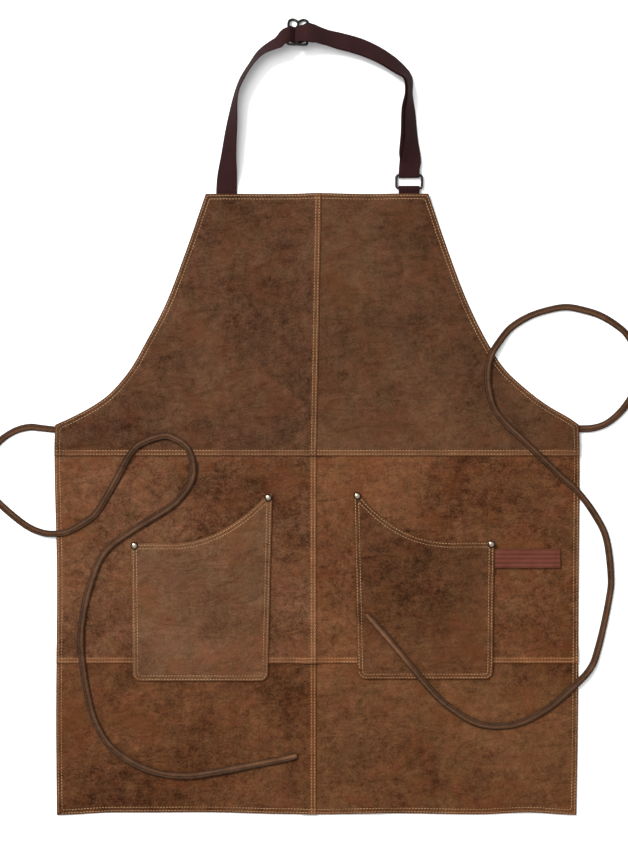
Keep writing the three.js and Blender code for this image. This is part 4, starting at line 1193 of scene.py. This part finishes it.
def make_rivet(name, x, y, material):
    turns = full_turn(RIVET_SIDES)
    dome = np.radians(np.linspace(*RIVET_DOME))
    around = full_turn(len(dome))
    beside = pocket_level(x + RIVET_RADIUS * np.cos(around), y + RIVET_RADIUS * np.sin(around))
    seat = float(np.max(beside)) + 2 * LEATHER + SLACK
    low, high = RIVET_BACK
    back = RIVET_BACK_RADIUS
    profile = np.concatenate([
        [(RIVET_CENTRE, low), (back - RIVET_BACK_BEVEL, low), (back, low + RIVET_BEVEL), (back, high)],
        [(RIVET_POST, high), (RIVET_POST, seat)],
        [(RIVET_RADIUS - RIVET_BEVEL, seat), (RIVET_RADIUS, seat + RIVET_BEVEL)],
        np.column_stack([
            RIVET_RADIUS * np.sin(dome) * RIVET_DOME_WIDTH,
            seat + RIVET_HEIGHT * (RIVET_RIM + (1.0 - RIVET_RIM) * np.cos(dome)),
        ]),
    ])
    points = np.stack([
        x + profile[:, :1] * np.cos(turns),
        y + profile[:, :1] * np.sin(turns),
        np.broadcast_to(profile[:, 1:], (len(profile), RIVET_SIDES)),
    ], axis=-1)
    faces = tube_faces(len(profile), RIVET_SIDES, closed=False)
    # Painted shade: the outer part of the dome is darkened.
    painted_rim_shade = smooth(profile[:, 0] / RIVET_RADIUS, *RIVET_PAINTED_SHADE).repeat(RIVET_SIDES)
    make_piece(
        name + "_metal", points.reshape(-1, 3), faces, material, wear_and_painted_light=painted_rim_shade, nodes=[name]
    )


# Neck loop

LOOP_LINE = spline(LOOP, LOOP_STEPS)
LOOP_ALONG = distances(LOOP_LINE[:, :2])
SLIDER_ALONG = LOOP_ALONG[LOOP_STEPS * SLIDER_ROW]
RING_ALONG = LOOP_ALONG[np.argmax((LOOP_LINE[:, 0] > 0.0) & (LOOP_LINE[:, 1] < RING_HIGH_Y))]


def loop_point(along):
    return [np.interp(along, LOOP_ALONG, LOOP_LINE[:, k]) for k in range(3)]


def leaned(travel, lean):
    """Normal of webbing that runs along travel and leans out by an angle."""
    flat = np.zeros(np.shape(lean))
    normal = np.stack([-travel[..., 1], travel[..., 0], flat], axis=-1) * np.sin(lean)[..., None]
    normal[..., 2] = np.cos(lean)
    return normal


def plan_frame(along):
    """Middle, travel and normal of the webbing, which leans out with its outer edge on the floor."""
    x, y, lean = loop_point(along)
    lean = np.radians(lean)
    before = loop_point(along - TRAVEL_STEP)
    after = loop_point(along + TRAVEL_STEP)
    flat = np.zeros(np.shape(along))
    travel = unit(np.stack([after[0] - before[0], after[1] - before[1], flat], axis=-1))
    normal = leaned(travel, lean)
    propped = SLIDER_LIFT * bell(along, SLIDER_ALONG, SLIDER_LIFT_REACH)
    ring_lift = (WRAP_RADIUS - LAYER_HALF) * smooth(along, RING_ALONG - RING_APPROACH, RING_ALONG)
    resting = STRAP.width / 2 * np.abs(np.sin(lean)) + (STRAP.thickness / 2 + LAYER_HALF) * np.cos(lean)
    return np.stack([x, y, resting + propped + ring_lift], axis=-1), travel, normal


def loop_frame(along):
    """The same frame, held straight through the slider."""
    along = np.asarray(along, float)
    middle, travel, normal = plan_frame(along)
    slider_middle = plan_frame(np.asarray(SLIDER_ALONG))[0]
    heading = np.radians(SLIDER_HEADING)
    slider_travel = np.array([np.cos(heading), np.sin(heading), 0.0])
    slider_normal = leaned(slider_travel, np.radians(loop_point(SLIDER_ALONG)[2]))
    offset = (along - SLIDER_ALONG)[..., None]
    straight = 1.0 - smooth(np.abs(offset), SLIDER_STRAIGHT, SLIDER_BLEND)
    middle = middle + straight * (slider_middle + offset * slider_travel - middle)
    travel = unit(travel + straight * (slider_travel - travel))
    normal = unit(normal + straight * (slider_normal - normal))
    return middle, travel, normal, unit(np.cross(travel, normal))


def wrap_path(along, start, end, radius=WRAP_RADIUS):
    """Round a wire or a fold, between two angles."""
    turns = np.radians(np.linspace(start, end, WRAP_POINTS))
    return np.column_stack([along + radius * np.cos(turns), radius * np.sin(turns), np.zeros(WRAP_POINTS)])


def layer_aside(along):
    return LAYER_ASIDE * plateau(RING_ALONG - along, *LAYER_SPREAD)


def strap_path():
    """The strap through slider and ring and back: along the loop, off the metal's plane, to the inside."""
    s = SLIDER_ALONG
    bar = SLIDER_LENGTH / 2
    dip = WIRE_RADIUS + 2 * (GAP + SLACK) + 1.5 * STRAP.thickness
    pitch = STRAP.thickness + LAYER_SPACE
    over = WRAP_RADIUS
    turned = over * np.sqrt(0.5)
    rising = np.arange(0.0, s - RISING_END, RISING_STEP)
    falling = np.arange(s + FALLING_START, RING_ALONG - FALLING_END, FALLING_STEP)
    flat = np.zeros(len(falling))
    return np.concatenate([
        np.column_stack([rising, np.full(len(rising), -LAYER_HALF), np.zeros(len(rising))]),
        [(s - 30.0, 0.6, 2.8), (s - bar - 4.0, over, 4.2), (s - bar, over, 2.6)],
        [(s - bar + turned, turned, 0.0), (s - 4.6, -2.9, -2.0), (s, -dip, -3.8), (s + 4.6, -2.9, -5.0)],
        [(s + bar - turned, turned, -5.2), (s + bar, over, -5.0), (s + bar + 6.0, over - 0.4, -4.0)],
        [(s + 34.0, 0.0, -1.6)],
        np.column_stack([falling, flat - LAYER_HALF, layer_aside(falling)]),
        [(RING_ALONG - 12.0, -2.1, 0.0)],
        wrap_path(RING_ALONG, -90.0, 90.0),
        [(RING_ALONG - 12.0, over - 0.2, 0.0)],
        np.column_stack([falling[::-1], flat + LAYER_HALF, flat]),
        [(s + 34.0, 0.6 + pitch, 1.6), (s + bar + 6.0, over + 2 * pitch - 0.4, 2.6)],
        [(s + bar, over + 2 * pitch + 0.4, 2.6), (s + bar - turned, turned + 2 * pitch + 0.7, 2.0)],
        [(s + 4.6, over + 1.9, 0.6)],
        wrap_path(s, 90.0, 270.0),
        [(s + 4.8, 0.15, 0.0), (s + bar - turned, turned + pitch + 0.4, 1.0), (s + bar, over + pitch, 1.6)],
        [(s + bar + 6.0, over + pitch - 0.4, 1.8), (s + 22.0, over + pitch - 1.0, 1.6)],
    ])


def path_stations(path, steps, frame_at):
    line = spline(path, steps)
    slope = unit(np.gradient(line, axis=0))
    middle, travel, normal, side = frame_at(line[:, 0])
    up = normal * slope[:, :1] - travel * slope[:, 1:2]
    return middle + normal * line[:, 1:2] + side * line[:, 2:], side, unit(up)


def strap_seam_line(stations):
    """Where the strap's folded end is sewn down beyond the slider, on its upper layer."""
    along = spline(strap_path(), STRAP_STEPS)[:, 0]
    turn = int(np.argmax(along))
    k = turn + int(np.argmax(along[turn:] < SLIDER_ALONG + STRAP_SEAM))
    middle, side, up = (part[k] for part in stations)
    across = np.linspace(-STRAP_SEAM_HALF, STRAP_SEAM_HALF, STRAP_SEAM_POINTS)[:, None] * STRAP.width
    return middle + side * across + up * STRAP.thickness / 2


def straight_frame(origin, travel, side):
    """Frame of a band that runs straight over the floor, along x or y."""
    def frame_at(along):
        along = np.asarray(along, float)[..., None]
        shape = (*along.shape[:-1], 3)
        normal = np.broadcast_to(Z_AXIS, shape)
        fixed = np.broadcast_to(side, shape)
        return origin + along * travel, np.broadcast_to(travel, shape), normal, fixed
    return frame_at


def ring_tab_stations(ring_height):
    low = STRAP.thickness / 2
    top = low + STRAP.thickness + 2 * GAP
    path = np.concatenate([
        [(RING_TAB_END_Y, low, 0.0), (RING_TAB_LOW_Y, low, 0.0), (BIB_TOP_Y, low, 0.0)],
        wrap_path(RING_LOW_Y, -90.0, 90.0) + Y_AXIS * ring_height,
        [(BIB_TOP_Y, top + RING_TAB_RISE, 0.0), (RING_TAB_TOP_Y, top, 0.0), (RING_TAB_END_Y, top, 0.0)],
    ])
    return path_stations(path, STRAP_STEPS, straight_frame(X_AXIS * RING_X, Y_AXIS, X_AXIS))


def side_tab_stations():
    width, thickness = SIDE_TAB
    near = np.linspace(SIDE_TAB_LEFT, SIDE_TAB_RIGHT, SIDE_TAB_POINTS)
    lines = [np.full(SIDE_TAB_POINTS, SIDE_TAB_Y + k * width / 2) for k in (-1, 0, 1)]
    low = float(np.max([sheet_level(len(PANELS), near, line) for line in lines])) + thickness / 2
    fold = (thickness + SIDE_TAB_SPACE) / 2
    high = low + 2 * fold
    bend = SIDE_TAB_RIGHT - fold - thickness / 2
    half = (SIDE_TAB_LEFT + bend) / 2
    dip, depth, level = SIDE_TAB_DIP
    path = np.concatenate([
        [(SIDE_TAB_LEFT, low, 0.0), (half, low, 0.0)],
        wrap_path(bend, -90.0, 90.0, fold) + Y_AXIS * (low + fold),
        [(bend - dip, high - depth, 0.0), (bend - level, high, 0.0), (half, high, 0.0)],
        [(SIDE_TAB_LEFT, high, 0.0)],
    ])
    return path_stations(path, SIDE_TAB_STEPS, straight_frame(Y_AXIS * SIDE_TAB_Y, X_AXIS, -Y_AXIS))


# Metal

def wire_tube(line, closed):
    """Round wire along a line in its own plane."""
    if closed:
        travel = unit(np.roll(line, -1, axis=0) - np.roll(line, 1, axis=0))
    else:
        travel = unit(np.gradient(line, axis=0))
    outward = np.column_stack([travel[:, 1], -travel[:, 0]])
    turns = full_turn(WIRE_SIDES)
    flat = line[:, None] + WIRE_RADIUS * outward[:, None] * np.cos(turns)[None, :, None]
    height = np.broadcast_to(WIRE_RADIUS * np.sin(turns), (len(line), WIRE_SIDES))
    points = np.concatenate([flat, height[..., None]], axis=-1).reshape(-1, 3)
    return points, tube_faces(len(line), WIRE_SIDES, closed)


def rounded_loop(half_length, half_width):
    """A rectangle with round corners, evenly divided."""
    turns = np.linspace(0.0, 2 * np.pi, RING_SAMPLES)
    corner = np.column_stack([np.cos(turns), np.sin(turns)])
    dense = np.sign(corner) * np.abs(corner) ** WIRE_ROUNDING * np.array([half_length, half_width])
    along = distances(dense)
    return points_at(dense, along, np.linspace(0.0, along[-1], RING_STEPS, endpoint=False))


def slider_line():
    mirrored = SLIDER_WIRE[:0:-1] * np.array([-1.0, 1.0])
    corners = np.concatenate([SLIDER_WIRE, [SLIDER_DIP], mirrored])
    wrapped = np.concatenate([corners[-2:], corners, corners[:3]])
    return spline(wrapped, WIRE_STEPS)[2 * WIRE_STEPS:-2 * WIRE_STEPS - 1]


def make_slider(material):
    middle, travel, normal, side = loop_frame(SLIDER_ALONG)
    axes = np.column_stack([travel, -side, normal])
    origin = middle + SLIDER_SHIFT * side
    loop, loop_faces = wire_tube(slider_line(), closed=True)
    reach = np.linspace(*SLIDER_BAR, SLIDER_BAR_RINGS)
    bar, bar_faces = wire_tube(np.column_stack([np.zeros(SLIDER_BAR_RINGS), reach]), closed=False)
    points = np.concatenate([loop, bar]) @ axes.T + origin
    faces = [*loop_faces, *(face + len(loop) for face in bar_faces)]
    make_piece("slider_metal", points, faces, material, nodes=["slider"])


def make_ring(height, material):
    line = rounded_loop(RING_WIDTH / 2, (RING_HIGH_Y - RING_LOW_Y) / 2)
    points, faces = wire_tube(line, closed=True)
    points = points + np.array([RING_X, (RING_LOW_Y + RING_HIGH_Y) / 2, height])
    make_piece("ring_metal", points, faces, material, nodes=["ring"])


# Ties

def pocket_top(pocket, x, y):
    share = pocket_share(pocket, x, y)
    mouth = mouth_y(pocket, np.clip(share, 0.0, 1.0))
    inside = (share > 0.0) & (share < 1.0) & (y > POCKET_BOTTOM_Y + pocket["y"]) & (y < mouth)
    return np.where(inside, pocket_main(pocket, x, y) + LEATHER, 0.0)


def apron_top(x, y):
    """Highest leather below a point, falling to the floor beside the apron."""
    level = np.clip(y, BOTTOM_Y, BIB_TOP_Y)
    outside = np.maximum.reduce([
        edge_x("left", level) - x, x - edge_x("right", level), BOTTOM_Y - y, y - BIB_TOP_Y,
    ])
    cover = 1.0 - smooth(outside, *TIE_DROP)
    pockets = [pocket_top(pocket, x, y) for pocket in POCKETS.values()]
    return cover * np.maximum.reduce([sheet_level(len(PANELS), x, y), *pockets])


def tie_plan(points):
    """A tie's route seen from above, evenly divided, and the distances along it."""
    line = spline(points, TIE_CURVE_STEPS, centripetal=False)
    along = distances(line)
    spots = np.linspace(0.0, along[-1], int(along[-1] / TIE_STEP))
    return points_at(line, along, spots), spots


def neighbours(values):
    """Each value's neighbours along a line, one row for each step away."""
    padded = np.pad(values, TIE_EASE, mode="edge")
    return [padded[k:k + len(values)] for k in range(2 * TIE_EASE + 1)]


def tie_line(points):
    """The laid line of a tie: hidden under its corner first, then on whatever is highest close to it."""
    plan, along = tie_plan(points)
    x, y = plan.T
    around = [
        apron_top(x + TIE_REACH * np.cos(turn), y + TIE_REACH * np.sin(turn))
        for turn in full_turn(TIE_DIRECTIONS)
    ]
    highest = np.maximum.reduce([apron_top(x, y), *around])
    eased = np.mean(neighbours(np.max(neighbours(highest), axis=0)), axis=0)
    laid = smooth(along, TIE_HIDDEN, TIE_HIDDEN + TIE_RISE)
    return np.column_stack([plan, TIE.thickness / 2 + TIE_REST + laid * eased]), along


def tie_section():
    """A lace folded from a strip: rounded, with the seam of its fold in the top."""
    turns = full_turn(TIE_SIDES)
    across = TIE.width / 2 * np.cos(turns)
    rise = TIE.thickness / 2 * np.sin(turns)
    seam = TIE_SEAM_DEPTH * bell(across, TIE_SEAM, TIE_SEAM_WIDTH) * (rise > 0)
    return np.column_stack([across, rise - seam])


def tie_highlights_and_pale_end(section, along):
    """Painted highlights along the top of a tie, and its pale end."""
    across = section[:, 0]
    # The ridge and the lip beside the seam get painted highlights, on the top only.
    lines = [amount * bell(across, place, width) for place, width, amount in (TIE_RIDGE_HIGHLIGHT, TIE_LIP_HIGHLIGHT)]
    end = smooth(along, along[-1] - TIE_PALE_END, along[-1] - TIE_PALE_FULL)
    pale = end[:, None] * bell(across, TIE_RIDGE_HIGHLIGHT[0], TIE_PALE_WIDTH)
    return np.maximum(np.maximum(*lines), pale) * (section[:, 1] > 0)


def make_tie(side, points, material, seed):
    line, along = tie_line(points)
    travel = unit(np.gradient(line, axis=0))
    level = unit(np.cross(travel, Z_AXIS))
    rise = unit(np.cross(level, travel))
    roll = np.radians(TIE_ROLL) * lattice_noise(along, np.zeros(len(along)), TIE_ROLL_LENGTH, seed)[:, None]
    across = level * np.cos(roll) + rise * np.sin(roll)
    up = rise * np.cos(roll) - level * np.sin(roll)
    section = tie_section()
    shape, weave = sweep((line, across, up), section)
    swell = 1.0 + TIE_SWELL * lattice_noise(along, np.ones(len(along)), TIE_SWELL_LENGTH, seed + 1)
    swell[-len(TIE_TIP):] *= TIE_TIP
    core = line.repeat(len(section), axis=0)
    shape = core + (shape - core) * swell.repeat(len(section))[:, None]
    faces = tube_faces(len(line), len(section), closed=False)
    name = f"tie_{side}"
    wear_and_painted_light = tie_highlights_and_pale_end(section, along).ravel()
    piece = make_piece(
        name + "_lace", shape, faces, material, uv=weave, wear_and_painted_light=wear_and_painted_light, nodes=[name]
    )


# Stage

def make_floor():
    mesh = bpy.data.meshes.new("floor")
    corners = [(x * FLOOR_HALF, y * FLOOR_HALF, FLOOR_Z) for x, y in ((-1, -1), (1, -1), (1, 1), (-1, 1))]
    mesh.from_pydata(corners, [], [(0, 1, 2, 3)])
    mesh.materials.append(floor_material("pale_floor"))
    add_object("floor", mesh)


def make_light():
    world = bpy.data.worlds.new("studio")
    world.use_nodes = True
    tree = world.node_tree
    sky = add_node(tree, "ShaderNodeTexCoord").outputs["Generated"]
    rise = add_node(tree, "ShaderNodeSeparateXYZ", [("Vector", sky)]).outputs["Z"]
    strength = add_range(tree, rise, 0.0, 1.0, *SKY)
    set_inputs(tree, tree.nodes["Background"], [("Color", (1.0, 1.0, 1.0, 1.0)), ("Strength", strength)])
    bpy.context.scene.world = world
    for name, place, size, power in LAMPS:
        light = bpy.data.lights.new(name, "AREA")
        light.shape = "DISK"
        light.size = size
        light.energy = power
        lamp = add_object(name, light)
        lamp.location = place
        lamp.rotation_euler = lamp.location.to_track_quat("Z", "Y").to_euler()


def make_camera():
    view = bpy.data.cameras.new("camera")
    view.sensor_fit = "VERTICAL"
    view.sensor_height = SENSOR
    view.lens = LENS
    camera = add_object("camera", view)
    camera.location = (CAMERA_X * MM, CAMERA_Y * MM, FRAME_HEIGHT * MM * LENS / SENSOR)
    bpy.context.scene.camera = camera
    bpy.context.scene.view_settings.view_transform = "Standard"


def main():
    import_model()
    make_floor()
    make_light()
    make_camera()
    hides = {}
    for seed, (name, look) in enumerate(HIDES.items()):
        hides[name] = leather_material(name + "_hide", *look, HIDE_RUB, seed)
    lace = leather_material("tie_hide", *LACE, LACE_PALE_AND_HIGHLIGHT, LACE_SEED)
    dark_webbing = webbing_material("dark_webbing", *DARK_WEBBING)
    red_webbing = webbing_material("red_webbing", *RED_WEBBING)
    black_metal = metal_material("black_metal", *BLACK_METAL)
    silver_metal = metal_material("silver_metal", *SILVER_METAL)
    thread = thread_material("tan_thread", *TAN_THREAD)
    strap_thread = thread_material("strap_thread", *STRAP_THREAD)

    for panel in PANELS:
        make_panel(panel, hides[panel.name])
    make_stitches("panel_stitches", panel_stitch_lines(), thread)
    for side, pocket in POCKETS.items():
        make_pocket(side, pocket, hides[f"pocket_{side}"])
        make_stitches(f"pocket_{side}_stitches", pocket_stitch_lines(pocket), thread)
        for place, share, y in RIVETS:
            height = y + pocket["y"]
            make_rivet(f"rivet_{side}_{place}", float(pocket_x(pocket, share, height)), height, silver_metal)

    strap = path_stations(strap_path(), STRAP_STEPS, loop_frame)
    make_band("neck_strap_webbing", strap, STRAP, dark_webbing, "neck_strap")
    make_stitches("strap_stitches", [strap_seam_line(strap)], strap_thread)
    ring_height = float(loop_frame(RING_ALONG)[0][2])
    make_band(
        "ring_tab_webbing", ring_tab_stations(ring_height), STRAP, dark_webbing, "ring_tab"
    )
    make_band("side_tab_webbing", side_tab_stations(), SIDE_TAB, red_webbing, "side_tab")
    make_slider(black_metal)
    make_ring(ring_height, black_metal)
    make_tie("left", TIE_LEFT, lace, TIE_LEFT_SEED)
    make_tie("right", TIE_RIGHT, lace, TIE_RIGHT_SEED)

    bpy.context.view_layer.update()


main()
